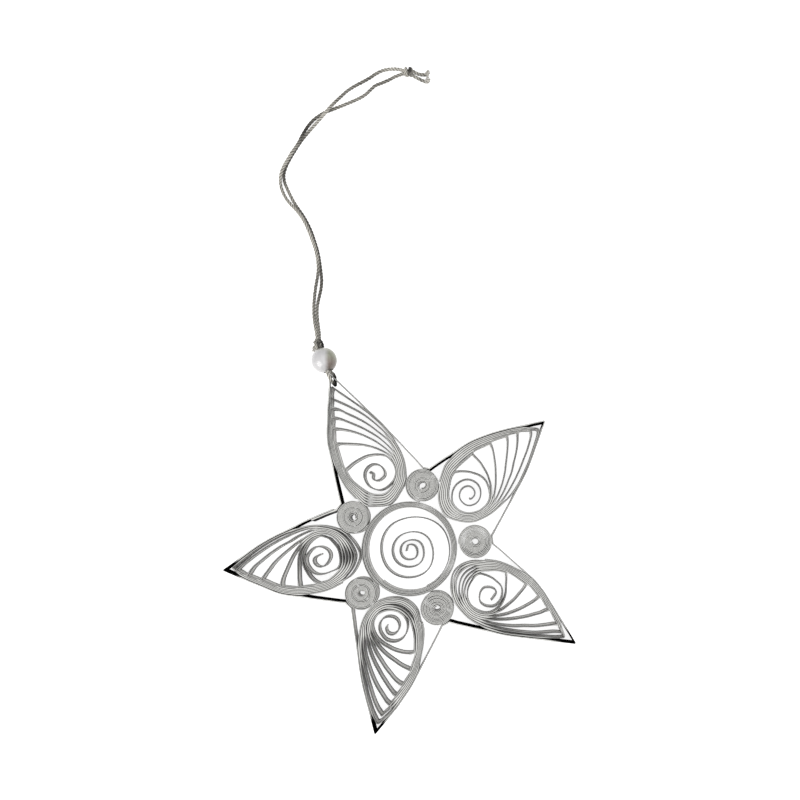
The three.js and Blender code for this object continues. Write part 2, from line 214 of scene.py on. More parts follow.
def through(route: Sequence[Point], spacing: float) -> Line:
    """A centripetal Catmull-Rom curve through points, sampled evenly.

    Args:
        route: The points.
        spacing: Distance from one sample to the next.

    Returns:
        The samples, both ends among them.
    """
    p = np.asarray(route, float)
    p = np.vstack([2 * p[0] - p[1], p, 2 * p[-1] - p[-2]])
    fine = []
    for p0, p1, p2, p3 in zip(p[:-3], p[1:-2], p[2:-1], p[3:]):
        d1, d2, d3 = (max(np.linalg.norm(b - a) ** 0.5, 1e-4) for a, b in ((p0, p1), (p1, p2), (p2, p3)))
        m1 = ((p1 - p0) / d1 - (p2 - p0) / (d1 + d2) + (p2 - p1) / d2) * d2
        m2 = ((p2 - p1) / d2 - (p3 - p1) / (d2 + d3) + (p3 - p2) / d3) * d2
        fine.append(cubic(p1, p1 + m1 / 3, p2 - m2 / 3, p2, CURVE_STEPS)[:-1])
    dense = np.vstack([*fine, p[-2:-1]])
    along = lengths(dense)
    marks = np.linspace(0, along[-1], max(2, round(along[-1] / spacing)) + 1)
    return np.column_stack([np.interp(marks, along, column) for column in dense.T])


def neighbours(paths: Sequence[Line]) -> list[Line]:
    """Distance from each point of flat paths to the strips beside it.

    Args:
        paths: The paths of all the strips.

    Returns:
        For each path, a row a point: its distances to the left and to the right, smoothed.
    """
    every = np.vstack(paths)
    owner = np.concatenate([np.full(len(path), i) for i, path in enumerate(paths)])
    along = np.concatenate([lengths(path) for path in paths])
    across = np.vstack([beside(path, 1.0) - path for path in paths])
    tree = KDTree(len(every))
    for i, (x, y) in enumerate(every):
        tree.insert((x, y, 0), i)
    tree.balance()
    found = np.full((len(every), 2), NEAR)
    for i, (x, y) in enumerate(every):
        for _, j, distance in tree.find_range((x, y, 0), NEAR):
            if owner[j] == owner[i] and abs(along[j] - along[i]) < OWN_STRETCH:
                continue
            aside = float((every[j] - every[i]) @ across[i])
            if abs(aside) > ABREAST * distance:
                side = int(aside < 0)
                found[i, side] = min(found[i, side], abs(aside))
    out = []
    for rows in np.split(found, np.cumsum([len(path) for path in paths])[:-1]):
        padded = np.vstack([rows[:1]] * 2 + [rows] + [rows[-1:]] * 2)
        out.append(sum(padded[k:k + len(rows)] for k in range(5)) / 5)
    return out


def linked(name: str, data: bpy.types.ID) -> bpy.types.Object:
    """Puts a mesh, a lamp or a camera into the scene.

    Args:
        name: Name of the object.
        data: What it shows.

    Returns:
        The object.
    """
    made = bpy.data.objects.new(name, data)
    bpy.context.scene.collection.objects.link(made)
    return made


def finished(name: str, mesh: bpy.types.Mesh, body: str, nodes: Sequence[str]) -> bpy.types.Object:
    """Puts a finished mesh on its body.

    Args:
        name: The piece's name.
        mesh: Its mesh, in metres, in the frame's axes.
        body: The CAD body it rides on.
        nodes: The CAD nodes it replaces.

    Returns:
        The object.
    """
    mesh.name = name
    piece = linked(name, mesh)
    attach(piece, body)
    if nodes:
        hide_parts(*nodes)
    LOG.info("%s: %d faces on %s", name, len(mesh.polygons), body)
    return piece


def outward(mesh: bpy.types.Mesh) -> None:
    """Turns the faces of closed shells outwards and shades them smooth.

    Args:
        mesh: The mesh.
    """
    work = bmesh.new()
    work.from_mesh(mesh)
    bmesh.ops.recalc_face_normals(work, faces=work.faces)
    work.to_mesh(mesh)
    work.free()
    mesh.shade_smooth()


def keep_trait(mesh: bpy.types.Mesh, name: str, values: Line) -> None:
    """Keeps a number at each point of a mesh, which finishes and node trees read by name."""
    mesh.attributes.new(name, "FLOAT", "POINT").data.foreach_set("value", values.astype(np.float32))


def math_node(operation: str, swapped: bool = False, clamp: bool = False) -> Callable[..., "Signal"]:
    """Makes a method of Signal that adds one Math node.

    Args:
        operation: The node's operation.
        swapped: True if the signal is the second value.
        clamp: True if the result stays between 0 and 1.

    Returns:
        The method, which takes the other value or signal.
    """
    def method(self: "Signal", other: Any = 0.0) -> "Signal":
        """Adds the node."""
        first, second = (other, self) if swapped else (self, other)
        return self.sheet.add("ShaderNodeMath", {0: first, 1: second}, operation=operation, use_clamp=clamp)

    return method


@dataclass(eq=False)
class Signal:
    """A node's output. Python's operators on it add Math nodes."""

    sheet: "NodeSheet"
    socket: bpy.types.NodeSocket

    __add__ = __radd__ = math_node("ADD")
    __sub__ = math_node("SUBTRACT")
    __rsub__ = math_node("SUBTRACT", swapped=True)
    __mul__ = __rmul__ = math_node("MULTIPLY")
    __truediv__ = math_node("DIVIDE")
    clamped = math_node("ADD", clamp=True)
    sine = math_node("SINE")
    cosine = math_node("COSINE")

    def __getitem__(self, output: str) -> "Signal":
        """Another output of the same node."""
        return Signal(self.sheet, self.socket.node.outputs[output])

    def over(self, level: float, softness: float) -> "Signal":
        """A soft step.

        Args:
            level: Where the step is.
            softness: How wide it is.

        Returns:
            0 below the step and 1 above it.
        """
        return ((self - level) / softness + 0.5).clamped()


@dataclass(eq=False)
class NodeSheet:
    """Adds the nodes of one tree."""

    tree: bpy.types.NodeTree

    def add(self, kind: str, sockets: dict[Any, Any] | None = None, output: Any = 0,
            **settings: Any) -> Signal | None:
        """Adds a node.

        Args:
            kind: Its type.
            sockets: A value or a signal for each of its inputs, by name or by number.
            output: The output that is wanted.
            settings: Its settings, which are set first.

        Returns:
            That output, if it has any.
        """
        node = self.tree.nodes.new(kind)
        for key, value in settings.items():
            setattr(node, key, value)
        for key, value in (sockets or {}).items():
            target = node.inputs[key]
            if isinstance(value, Signal):
                self.tree.links.new(value.socket, target)
            else:
                target.default_value = (*value, 1) if target.type == "RGBA" else value
        return Signal(self, node.outputs[output]) if node.outputs else None

    def vector(self, operation: str, a: Any, b: Any) -> Signal:
        """One Vector Math node.

        Args:
            operation: Its operation.
            a: First vector or signal.
            b: Second vector or signal.

        Returns:
            Its result.
        """
        output = "Value" if operation == "DISTANCE" else "Vector"
        return self.add("ShaderNodeVectorMath", {0: a, 1: b}, output, operation=operation)

    def scaled(self, vector: Any, factor: Any) -> Signal:
        """A vector times a number."""
        return self.add("ShaderNodeVectorMath", {0: vector, "Scale": factor}, operation="SCALE")

    def kept(self, geometry: Signal, name: str, kind: str, value: Signal) -> Signal:
        """Keeps a value at each point under a name.

        Args:
            geometry: The geometry.
            name: The attribute's name.
            kind: Its data type.
            value: Its value.

        Returns:
            The geometry with the attribute.
        """
        sockets = {"Geometry": geometry, "Name": name, "Value": value}
        return self.add("GeometryNodeStoreNamedAttribute", sockets, data_type=kind, domain="POINT")

    def named(self, name: str, kind: str = "FLOAT") -> Signal:
        """An attribute of the geometry, in a Geometry Nodes tree."""
        return self.add("GeometryNodeInputNamedAttribute", {"Name": name}, data_type=kind)

    def trait(self, name: str) -> Signal:
        """An attribute of the mesh, in a shader."""
        return self.add("ShaderNodeAttribute", None, "Fac", attribute_name=name)

    def place(self) -> Signal:
        """The place on the object, in a shader."""
        return self.add("ShaderNodeTexCoord", None, "Object")

    def looked_at(self) -> Signal:
        """1 where the camera, a reflection or a clear body shows the background."""
        rays = self.add("ShaderNodeLightPath")
        return (rays["Is Camera Ray"] + rays["Is Glossy Ray"] + rays["Is Transmission Ray"]).clamped()

    def noise(self, place: Signal, scale: float, detail: float = 3.0, roughness: float = 0.5) -> Signal:
        """Noise from 0 to 1.

        Args:
            place: The vector that it reads.
            scale: Its scale.
            detail: Its octaves.
            roughness: How strong the finer octaves are.

        Returns:
            The noise.
        """
        sockets = {"Vector": place, "Scale": scale, "Detail": detail, "Roughness": roughness}
        return self.add("ShaderNodeTexNoise", sockets, "Fac")

    def seeded_noise(self, seed: Signal, scale: Any, output: Any) -> Signal:
        """Broad noise of the geometry's positions that changes with a seed.

        Args:
            seed: The seed.
            scale: Its scale.
            output: The output that is wanted.

        Returns:
            The noise, from 0 to 1.
        """
        sockets = {"Vector": self.add("GeometryNodeInputPosition"), "W": seed, "Scale": scale, "Detail": 1.0}
        return self.add("ShaderNodeTexNoise", sockets, output, noise_dimensions="4D")

    def blend(self, factor: Signal, first: Any, second: Any) -> Signal:
        """Mixes two colours.

        Args:
            factor: 0 is the first colour and 1 the second.
            first: A colour or a signal.
            second: A colour or a signal.

        Returns:
            The mixed colour.
        """
        return self.add("ShaderNodeMix", {0: factor, 6: first, 7: second}, 2, data_type="RGBA")

    def bumped(self, height: Signal, strength: float, distance: float) -> Signal:
        """A normal from a height.

        Args:
            height: The height.
            strength: Strength of the bump.
            distance: What a height of 1 stands for.

        Returns:
            The normal.
        """
        return self.add("ShaderNodeBump", {"Height": height, "Strength": strength, "Distance": distance * MM})

    def principled(self, **sockets: Any) -> Signal:
        """A Principled shader, whose inputs are given with underscores for spaces."""
        spaced = {key.replace("_", " "): value for key, value in sockets.items()}
        return self.add("ShaderNodeBsdfPrincipled", spaced)


class Finish:
    """A procedural material. A subclass adds its nodes."""

    name: str

    def surface(self, sheet: NodeSheet) -> Signal:
        """Adds the nodes.

        Args:
            sheet: The sheet of the material's tree.

        Returns:
            The shader.
        """
        raise NotImplementedError

    def material(self) -> bpy.types.Material:
        """Builds the material.

        Returns:
            The material.
        """
        material = bpy.data.materials.new(self.name)
        material.use_nodes = True
        material.node_tree.nodes.clear()
        sheet = NodeSheet(material.node_tree)
        sheet.add("ShaderNodeOutputMaterial", {0: self.surface(sheet)})
        return material


@dataclass(frozen=True)
class SilverPaper(Finish):
    """Silver-grey quilling paper: satin faces with bands of painted shade along their bottom and top, bevels
    painted near black as the shade of the gaps between strips, the frame's inner faces painted black as a painted
    reflection of the dark side of the room, and cut edges that pale where strips crowd.
    """

    name: str = "silver paper"
    edge_free: Colour = (0.21, 0.209, 0.204)
    edge_crowded: Colour = (0.68, 0.68, 0.66)
    # Bevels: painted shade, near black, standing for the shadow in the gaps between strips.
    bevel_shade_free: Colour = (0.012, 0.012, 0.0115)
    bevel_shade_crowded: Colour = (0.03, 0.03, 0.029)
    face: Colour = (0.8, 0.795, 0.775)
    # rim: painted shade, the near-black of the bands low and high on each face
    rim: Colour = (0.03, 0.0295, 0.0285)
    # Painted reflection: the black that the frame's inner faces get for the dark side of the room they would
    # mirror.
    painted_reflection: Colour = (0.003, 0.003, 0.003)
    depth: float = 6.0
    bevel_slope: float = 0.25
    edge_slope: float = 0.75
    slope_fade: float = 0.2
    # Heights of the painted shade bands as shares of the depth, how softly they fade, and how much they fade where
    # strips crowd.
    shade_band_heights: tuple[float, float] = (0.25, 0.86)
    shade_band_fade: float = 0.14
    shade_band_hidden: float = 0.7
    broad_scale: float = 90.0
    fibre_scale: float = 2600.0
    fibre_squash: float = 0.18
    grain_scale: float = 9000.0
    mottling: tuple[float, float] = (0.35, 0.15)
    roughness: float = 0.45
    specular: float = 0.06
    bump: float = 0.35
    bump_height: float = 0.02

    def surface(self, sheet: NodeSheet) -> Signal:
        """Adds the nodes.

        Args:
            sheet: The sheet of the material's tree.

        Returns:
            The shader.
        """
        place = sheet.place()
        broad = sheet.noise(place, self.broad_scale) - 0.5
        squashed = sheet.add("ShaderNodeMapping", {"Vector": place, "Scale": (1, 1, self.fibre_squash)})
        fibre = sheet.noise(squashed, self.fibre_scale, 4.0, 0.6)
        grain = sheet.noise(place, self.grain_scale, 3.0, 0.6)
        crowd, shade = sheet.trait("crowd"), sheet.trait("shade")
        normal = sheet.add("ShaderNodeNewGeometry", None, "True Normal")
        facing_up = sheet.add("ShaderNodeSeparateXYZ", {0: normal}, "Z")
        steep = facing_up * facing_up
        on_bevel = steep.over(self.bevel_slope, self.slope_fade)
        on_edge = steep.over(self.edge_slope, self.slope_fade)
        height = sheet.add("ShaderNodeSeparateXYZ", {0: place}, "Z") * (1 / MM / self.depth)
        # Painted shade: dark bands along the bottom and the top of each face, fainter where strips crowd.
        low, high = (height.over(level, self.shade_band_fade) for level in self.shade_band_heights)
        shade_bands = (high + (1.0 - low)).clamped() * (1.0 - crowd * self.shade_band_hidden)
        face = sheet.blend(shade_bands, self.face, self.rim)
        paled = (crowd + broad * self.mottling[0] + (grain - 0.5) * self.mottling[1]).clamped()
        # Painted shade on the bevels, for the shadowed gaps between strips.
        bevel_shade = sheet.blend(crowd, self.bevel_shade_free, self.bevel_shade_crowded)
        edge = sheet.blend(paled, self.edge_free, self.edge_crowded)
        paper = sheet.principled(
            Base_Color=sheet.blend(on_edge, sheet.blend(on_bevel, face, bevel_shade), edge),
            Roughness=self.roughness + on_edge * 0.25 + (fibre - 0.5) * 0.2,
            Normal=sheet.bumped(fibre * 0.6 + grain * 0.4, self.bump, self.bump_height),
            Specular_IOR_Level=self.specular,
        )
        # Painted reflection: a black matt shader mixed in by the shade trait on the frame's inner faces, and near
        # a dark tip on the cut edges too.
        dark = sheet.add("ShaderNodeBsdfDiffuse", {"Color": self.painted_reflection})
        painted_reflection_share = (shade - on_edge).clamped() * (1.0 - sheet.trait("left_side") * (1.0 - on_edge))
        return sheet.add("ShaderNodeMixShader", {0: painted_reflection_share, 1: paper, 2: dark})


class ThreadTone(Enum):
    """Light and dark colour of a thread, the dark one also serving as painted shade, and the painted shade of the
    crevices between its plies.
    """

    CORD = ((0.60, 0.58, 0.525), (0.06, 0.056, 0.05), (0.02, 0.019, 0.017))
    FIBRE = ((0.72, 0.70, 0.66), (0.30, 0.28, 0.25), (0.2, 0.19, 0.17))


@dataclass(frozen=True)
class TwistedThread(Finish):
    """Matt spun thread whose fibres wind round each ply, with light and shade painted along it by its tone and
    painted shade in the crevices between its plies.
    """

    name: str
    tone: ThreadTone
    fibres_around: float = 6.0
    fibres_a_metre: float = 2600.0
    wander: float = 1.2
    wander_scale: float = 1400.0
    fuzz_scale: float = 5200.0
    lightness: tuple[float, float, float, float] = (1.05, 0.2, 0.7, -0.11)
    crevice_shade: tuple[float, float] = (0.8, 0.26)
    roughness: float = 0.8
    specular: float = 0.12
    sheen: float = 0.08
    bump: float = 0.7
    bump_height: float = 0.06

    def surface(self, sheet: NodeSheet) -> Signal:
        """Adds the nodes.

        Args:
            sheet: The sheet of the material's tree.

        Returns:
            The shader.
        """
        place = sheet.place()
        light, dark, crevice_shade = self.tone.value
        around, along, tone = (sheet.trait(name) for name in ("around", "along", "tone"))
        astray = sheet.noise(place, self.wander_scale) * self.wander
        lay = around * self.fibres_around + along * self.fibres_a_metre + astray
        winding = (lay * (2 * math.pi)).sine() * 0.5 + 0.5
        fuzz = sheet.noise(place, self.fuzz_scale, 4.0, 0.65)
        of_tone, of_winding, of_fuzz, offset = self.lightness
        # The tone paints light and shade along the thread.
        lightness = tone * of_tone + winding * of_winding + (fuzz - 0.5) * of_fuzz + offset
        # Painted shade: the crevices between the plies, and the near-black stretches of tone, take the crevice
        # colour.
        clear_of_crevice_shade = sheet.trait("relief").over(*self.crevice_shade) * tone.over(0.06, 0.12)
        return sheet.principled(
            Base_Color=sheet.blend(clear_of_crevice_shade, crevice_shade, sheet.blend(lightness.clamped(), dark, light)),
            Roughness=self.roughness + fuzz * 0.15,
            Normal=sheet.bumped(winding * 0.6 + fuzz * 0.5, self.bump, self.bump_height),
            Sheen_Weight=self.sheen,
            Sheen_Roughness=0.5,
            Specular_IOR_Level=self.specular,
        )


@dataclass(frozen=True)
class Pearl(Finish):
    """Pearl gloss over a pale nacre, with painted shade and painted reflection on one side and painted shade at
    its top.
    """

    name: str = "pearl"
    nacre: tuple[Colour, Colour] = ((0.52, 0.515, 0.525), (0.45, 0.445, 0.455))
    # Painted shade on the bead's top.
    painted_top_shade: Colour = (0.44, 0.435, 0.385)
    # Painted shade with a brown and a green painted reflection in it, for the bead's shaded side.
    shade_and_reflection: tuple[Colour, Colour] = ((0.13, 0.095, 0.072), (0.19, 0.195, 0.13))
    cloud_scale: float = 160.0
    fine_scale: float = 2400.0
    top_shade_step: tuple[float, float] = (0.85, 0.2)
    reflection_tint_step: tuple[float, float] = (0.5, 0.25)
    shade_side_step: tuple[float, float] = (0.64, 0.16)
    shade_side_share: float = 0.95
    roughness: float = 0.22
    coat: float = 0.6
    bump: float = 0.12
    bump_height: float = 0.08

    def surface(self, sheet: NodeSheet) -> Signal:
        """Adds the nodes.

        Args:
            sheet: The sheet of the material's tree.

        Returns:
            The shader.
        """
        place = sheet.place()
        cloud = sheet.noise(place, self.cloud_scale, 3.0, 0.55)
        fine = sheet.noise(place, self.fine_scale, 3.0, 0.6)
        # Painted shade and painted reflection on one side of the bead, and painted shade at its top, placed by two
        # traits of the mesh.
        dusk, rise = sheet.trait("dusk"), sheet.trait("rise")
        nacre = sheet.blend(cloud.over(0.5, 0.5), *self.nacre)
        nacre = sheet.blend(rise.over(*self.top_shade_step), nacre, self.painted_top_shade)
        shade_and_reflection = sheet.blend(rise.over(*self.reflection_tint_step), *self.shade_and_reflection)
        shadowed = (dusk + (cloud - 0.5) * 0.1).over(*self.shade_side_step)
        return sheet.principled(
            Base_Color=sheet.blend(shadowed * self.shade_side_share, nacre, shade_and_reflection),
            Roughness=self.roughness + fine * 0.08,
            Coat_Weight=self.coat + cloud * 0.15,
            Coat_Roughness=0.2,
            Specular_IOR_Level=0.5,
            Normal=sheet.bumped(cloud * 0.7 + fine * 0.3, self.bump, self.bump_height),
        )


@dataclass(frozen=True)
class PaleFloor(Finish):
    """Pale paper that is white to the camera and keeps a faint shadow."""

    name: str = "pale floor"
    pale: tuple[Colour, Colour] = ((0.6, 0.6, 0.6), (0.64, 0.64, 0.64))
    glow: float = 0.86

    def surface(self, sheet: NodeSheet) -> Signal:
        """Adds the nodes.

        Args:
            sheet: The sheet of the material's tree.

        Returns:
            The shader.
        """
        grain = sheet.noise(sheet.place(), 400.0, 2.0)
        matt = sheet.add("ShaderNodeBsdfDiffuse", {"Color": sheet.blend(grain, *self.pale)})
        glow = sheet.add("ShaderNodeEmission", {"Color": WHITE, "Strength": self.glow})
        lit = sheet.add("ShaderNodeAddShader", {0: matt, 1: glow})
        return sheet.add("ShaderNodeMixShader", {0: sheet.looked_at(), 1: matt, 2: lit})


class Growth:
    """Something that one Geometry Nodes tree grows along guide paths."""

    label: ClassVar[str]

    def sizes(self) -> dict[str, float]:
        """The tree's numbers by the names of its inputs, in metres. A whole number is an integer input."""
        raise NotImplementedError

    def shape(self, sheet: NodeSheet, given: Signal) -> Signal:
        """Adds the nodes.

        Args:
            sheet: The sheet of the tree.
            given: The tree's inputs.

        Returns:
            The geometry.
        """
        raise NotImplementedError

    def tree(self) -> bpy.types.NodeTree:
        """Builds the tree, or finds it if it is built.

        Returns:
            The tree.
        """
        if self.label in bpy.data.node_groups:
            return bpy.data.node_groups[self.label]
        tree = bpy.data.node_groups.new(self.label, "GeometryNodeTree")
        kinds = {name: "Int" if isinstance(value, int) else "Float" for name, value in self.sizes().items()}
        for name, kind in {"Geometry": "Geometry", **kinds, "Seed": "Float", "Finish": "Material"}.items():
            tree.interface.new_socket(name, in_out="INPUT", socket_type="NodeSocket" + kind)
        tree.interface.new_socket("Geometry", in_out="OUTPUT", socket_type="NodeSocketGeometry")
        sheet = NodeSheet(tree)
        given = sheet.add("NodeGroupInput")
        whole = sheet.add("GeometryNodeRealizeInstances", {0: self.shape(sheet, given)})
        dressed = sheet.add("GeometryNodeSetMaterial", {"Geometry": whole, "Material": given["Finish"]})
        sheet.add("NodeGroupOutput", {0: dressed})
        return tree

    def mesh(self, name: str, paths: Sequence[Line], traits: dict[str, Line], seed: float,
             finish: bpy.types.Material) -> bpy.types.Mesh:
        """Runs the tree on guide paths and keeps what it makes as a plain mesh.

        Args:
            name: Name of the mesh.
            paths: The guide paths, in millimetres.
            traits: Numbers at the points of all the paths, by name.
            seed: Seed of the unevenness.
            finish: The material.

        Returns:
            The mesh, in metres.
        """
        guide = bpy.data.meshes.new(name + " guide")
        verts: list[Point] = []
        edges: list[tuple[int, int]] = []
        for path in paths:
            edges.extend((len(verts) + i, len(verts) + i + 1) for i in range(len(path) - 1))
            verts.extend((path * MM).tolist())
        guide.from_pydata(verts, edges, [])
        for trait, values in traits.items():
            keep_trait(guide, trait, values)
        carrier = linked(name + " guide", guide)
        maker = carrier.modifiers.new(name, "NODES")
        maker.node_group = self.tree()
        inputs = {**self.sizes(), "Seed": seed, "Finish": finish}
        for item in maker.node_group.interface.items_tree:
            if item.item_type == "SOCKET" and item.in_out == "INPUT" and item.name in inputs:
                maker[item.identifier] = inputs[item.name]
        graph = bpy.context.evaluated_depsgraph_get()
        mesh = bpy.data.meshes.new_from_object(carrier.evaluated_get(graph))
        carrier.modifiers.remove(maker)
        bpy.data.objects.remove(carrier)
        bpy.data.meshes.remove(guide)
        outward(mesh)
        return mesh


@dataclass(frozen=True)
class PaperStrip(Growth):
    """Strips of paper standing on edge along the middles that its guide paths give."""

    label = "paper strip"
    side_step = -1e6
    thickness: float = 0.33
    depth: float = 6.0
    edge_round: float = 0.085
    wobble: float = 0.06
    wobble_scale: float = 260.0
    sharp_degrees: float = 38.0

    def sizes(self) -> dict[str, float]:
        """The tree's numbers by the names of its inputs.

        Returns:
            The numbers, in metres.
        """
        sizes = {
            "Thickness": self.thickness, "Depth": self.depth, "Edge Round": self.edge_round, "Wobble": self.wobble,
        }
        return {name: size * MM for name, size in sizes.items()} | {"Wobble Scale": self.wobble_scale}

    def shape(self, sheet: NodeSheet, given: Signal) -> Signal:
        """Adds the nodes: a level wobble, a tilt by "lean", and the room on each side filled out.

        Args:
            sheet: The sheet of the tree.
            given: The tree's inputs.

        Returns:
            The geometry.
        """
        curve = sheet.add("GeometryNodeMeshToCurve", {"Mesh": given})
        noise = sheet.seeded_noise(given["Seed"], given["Wobble Scale"], "Color")
        drift = sheet.vector("MULTIPLY", sheet.vector("SUBTRACT", noise, (0.5, 0.5, 0.5)), (2.0, 2.0, 0.0))
        moved = {"Geometry": curve, "Offset": sheet.scaled(drift, given["Wobble"])}
        curve = sheet.add("GeometryNodeSetPosition", moved)
        curve = sheet.add("GeometryNodeSetCurveNormal", {0: curve}, mode="Z_UP")
        curve = sheet.add("GeometryNodeSetCurveTilt", {0: curve, "Tilt": sheet.named("lean")})
        leftwards = sheet.vector("CROSS_PRODUCT", (0, 0, 1), sheet.add("GeometryNodeInputTangent"))
        curve = sheet.kept(curve, "leftwards", "FLOAT_VECTOR", leftwards)
        box = {"Width": given["Thickness"], "Height": given["Depth"]}
        section = sheet.add("GeometryNodeCurvePrimitiveQuadrilateral", box, mode="RECTANGLE")
        softened = {0: section, "Count": 1, "Radius": given["Edge Round"]}
        section = sheet.add("GeometryNodeFilletCurve", softened, mode="POLY")
        to_right = sheet.add("ShaderNodeSeparateXYZ", {0: sheet.add("GeometryNodeInputPosition")}, "X")
        section = sheet.kept(section, "left_side", "FLOAT", (to_right * self.side_step + 0.5).clamped())
        swept = {"Curve": curve, "Profile Curve": section, "Fill Caps": True}
        strip = sheet.add("GeometryNodeCurveToMesh", swept)
        left, right = sheet.named("room_left"), sheet.named("room_right")
        room = (sheet.named("left_side") * (left + right) - right) * MM
        filled = sheet.scaled(sheet.named("leftwards", "FLOAT_VECTOR"), room)
        return sheet.add("GeometryNodeSetPosition", {"Geometry": strip, "Offset": filled})

    def mesh(self, *given: Any) -> bpy.types.Mesh:
        """Runs the tree on guide paths and keeps the strip's edges crisp.

        Args:
            given: What the same method of Growth takes.

        Returns:
            The mesh, in metres.
        """
        made = super().mesh(*given)
        made.set_sharp_from_angle(angle=math.radians(self.sharp_degrees))
        return made


@dataclass(frozen=True)
class TwistedCord(Growth):
    """Plies twisted together along guide paths. One ply is a plain fibre."""

    label = "twisted cord"
    press = 1.06
    uneven_scale, uneven_twist, arm_least, arm_swing = 420.0, 0.3, 0.83, 0.35
    diameter: float
    pitch: float = 3.3
    plies: int = 3
    sides: int = 8

    def sizes(self) -> dict[str, float]:
        """The tree's numbers by the names of its inputs. Plies press into each other a little.

        Returns:
            The numbers, in metres.
        """
        arm = 2 / math.sqrt(3) if self.plies > 1 else 0.0
        ply = self.diameter / 2 / (1 + arm)
        sizes = {"Ply Radius": ply * self.press, "Arm": ply * arm, "Pitch": self.pitch}
        return {name: size * MM for name, size in sizes.items()} | {"Plies": self.plies, "Sides": self.sides}

    def shape(self, sheet: NodeSheet, given: Signal) -> Signal:
        """Adds the nodes: copies of each path wind round it unevenly and are swept with a circle.

        Args:
            sheet: The sheet of the tree.
            given: The tree's inputs.

        Returns:
            The geometry.
        """
        place = sheet.add("GeometryNodeInputPosition")
        along = sheet.add("GeometryNodeSplineParameter", None, "Length")
        curve = sheet.add("GeometryNodeMeshToCurve", {"Mesh": given})
        curve = sheet.kept(curve, "centre", "FLOAT_VECTOR", place)
        curve = sheet.kept(curve, "along", "FLOAT", along)
        copied = {"Geometry": curve, "Amount": given["Plies"]}
        copies = sheet.add("GeometryNodeDuplicateElements", copied, domain="SPLINE")
        uneven = sheet.seeded_noise(given["Seed"], self.uneven_scale, 0)
        share = copies["Duplicate Index"] / given["Plies"]
        turn = (along / given["Pitch"] + share + uneven * self.uneven_twist) * (2 * math.pi)
        arm = uneven * self.arm_swing + self.arm_least
        normal, tangent = sheet.add("GeometryNodeInputNormal"), sheet.add("GeometryNodeInputTangent")
        aside = sheet.scaled(sheet.vector("CROSS_PRODUCT", tangent, normal), turn.sine() * arm)
        way = sheet.vector("ADD", sheet.scaled(normal, turn.cosine() * arm), aside)
        moved = {"Geometry": copies, "Offset": sheet.scaled(way, given["Arm"])}
        curve = sheet.add("GeometryNodeSetPosition", moved)
        circle = {"Resolution": given["Sides"], "Radius": given["Ply Radius"]}
        section = sheet.add("GeometryNodeCurvePrimitiveCircle", circle, mode="RADIUS")
        around = sheet.add("GeometryNodeSplineParameter", None, "Factor")
        section = sheet.kept(section, "around", "FLOAT", around)
        swept = {"Curve": curve, "Profile Curve": section, "Fill Caps": True}
        plies = sheet.add("GeometryNodeCurveToMesh", swept)
        off = sheet.vector("DISTANCE", place, sheet.named("centre", "FLOAT_VECTOR"))
        return sheet.kept(plies, "relief", "FLOAT", (off / (given["Arm"] + given["Ply Radius"])).clamped())


@dataclass(frozen=True)
class Petal:
    """A pinched teardrop of one wound strip, in its own axes: y runs out from its foot.

    Tables hold x and y in turn. The bottom and the side are bands of packed layers, and each row of four
    numbers is a point of the band's outer border and one of its inner border. The first shades of the
    frame are its painted black, a painted reflection of the dark side of the room on its inner faces, on the legs
    before and after the tip, and the last is that at the tip.
    """

    name: str
    axis: float
    seed: float
    # Painted black on the frame's inner faces, as a painted reflection of the dark room: before the tip, after it,
    # at the tip.
    frame_shade: tuple[float, float, float]
    apex: Point
    folds: Sequence[float]
    outer: Sequence[float]
    vanes: Sequence[Sequence[float]]
    bottom: Sequence[float]
    side: Sequence[float]
    curl: Sequence[float]
    bottom_spread: Sequence[float] = (0, 0.2, 0.4, 0.6, 0.8, 1)
    side_spread: Sequence[float] = (0, 0.17, 0.33, 0.5, 0.67, 0.83, 1)
    spacing: float = 0.34
    fold_clearing: float = 0.9
    fold_radius: float = 0.2

    @staticmethod
    def between(band: Sequence[float], share: float) -> list[Line]:
        """Points at one share of the way from a band's outer border to its inner one."""
        return [row[:2] * (1 - share) + row[2:] * share for row in points(band, 4)]

    def climb(self, layer: int) -> list[Line]:
        """The left wall of a turn, from beside the foot to its fold.

        Args:
            layer: 0 is the outermost.

        Returns:
            Its points.
        """
        folds = points(self.folds)
        wall = self.between(self.side, self.side_spread[layer])
        for j in range(len(folds) - 1, layer, -1):
            share = self.side_spread[layer] / self.side_spread[j]
            x, y = folds[j]
            wall.append(np.array([self.outer[j] + (x - self.outer[j]) * share, y]))
        return [*wall, folds[layer]]

    def runs(self) -> list[Line]:
        """The strip from fold to fold, and last its arch with the loose curl.

        Returns:
            The runs.
        """
        vanes = [points(vane) for vane in self.vanes]
        runs = []
        route = self.climb(0)
        for k, vane in enumerate(vanes[:-1]):
            route = route + vane + self.between(self.bottom, self.bottom_spread[k]) + self.climb(k + 1)
            runs.append(through(route, self.spacing))
            route = route[-1:]
        runs.append(through(route + vanes[-1] + points(self.curl), self.spacing))
        return runs

    def path(self) -> Line:
        """The whole strip, with its folds rounded.

        Returns:
            The path.
        """
        parts = self.runs()
        for i, run in enumerate(parts):
            keep = np.ones(len(run), bool)
            for end, folded in ((0, i > 0), (-1, i < len(parts) - 1)):
                if folded:
                    keep &= distances(run, run[end]) > self.fold_clearing
                    keep[end] = True
            parts[i] = run[keep]
        return with_round_folds(joined(parts), self.fold_radius)


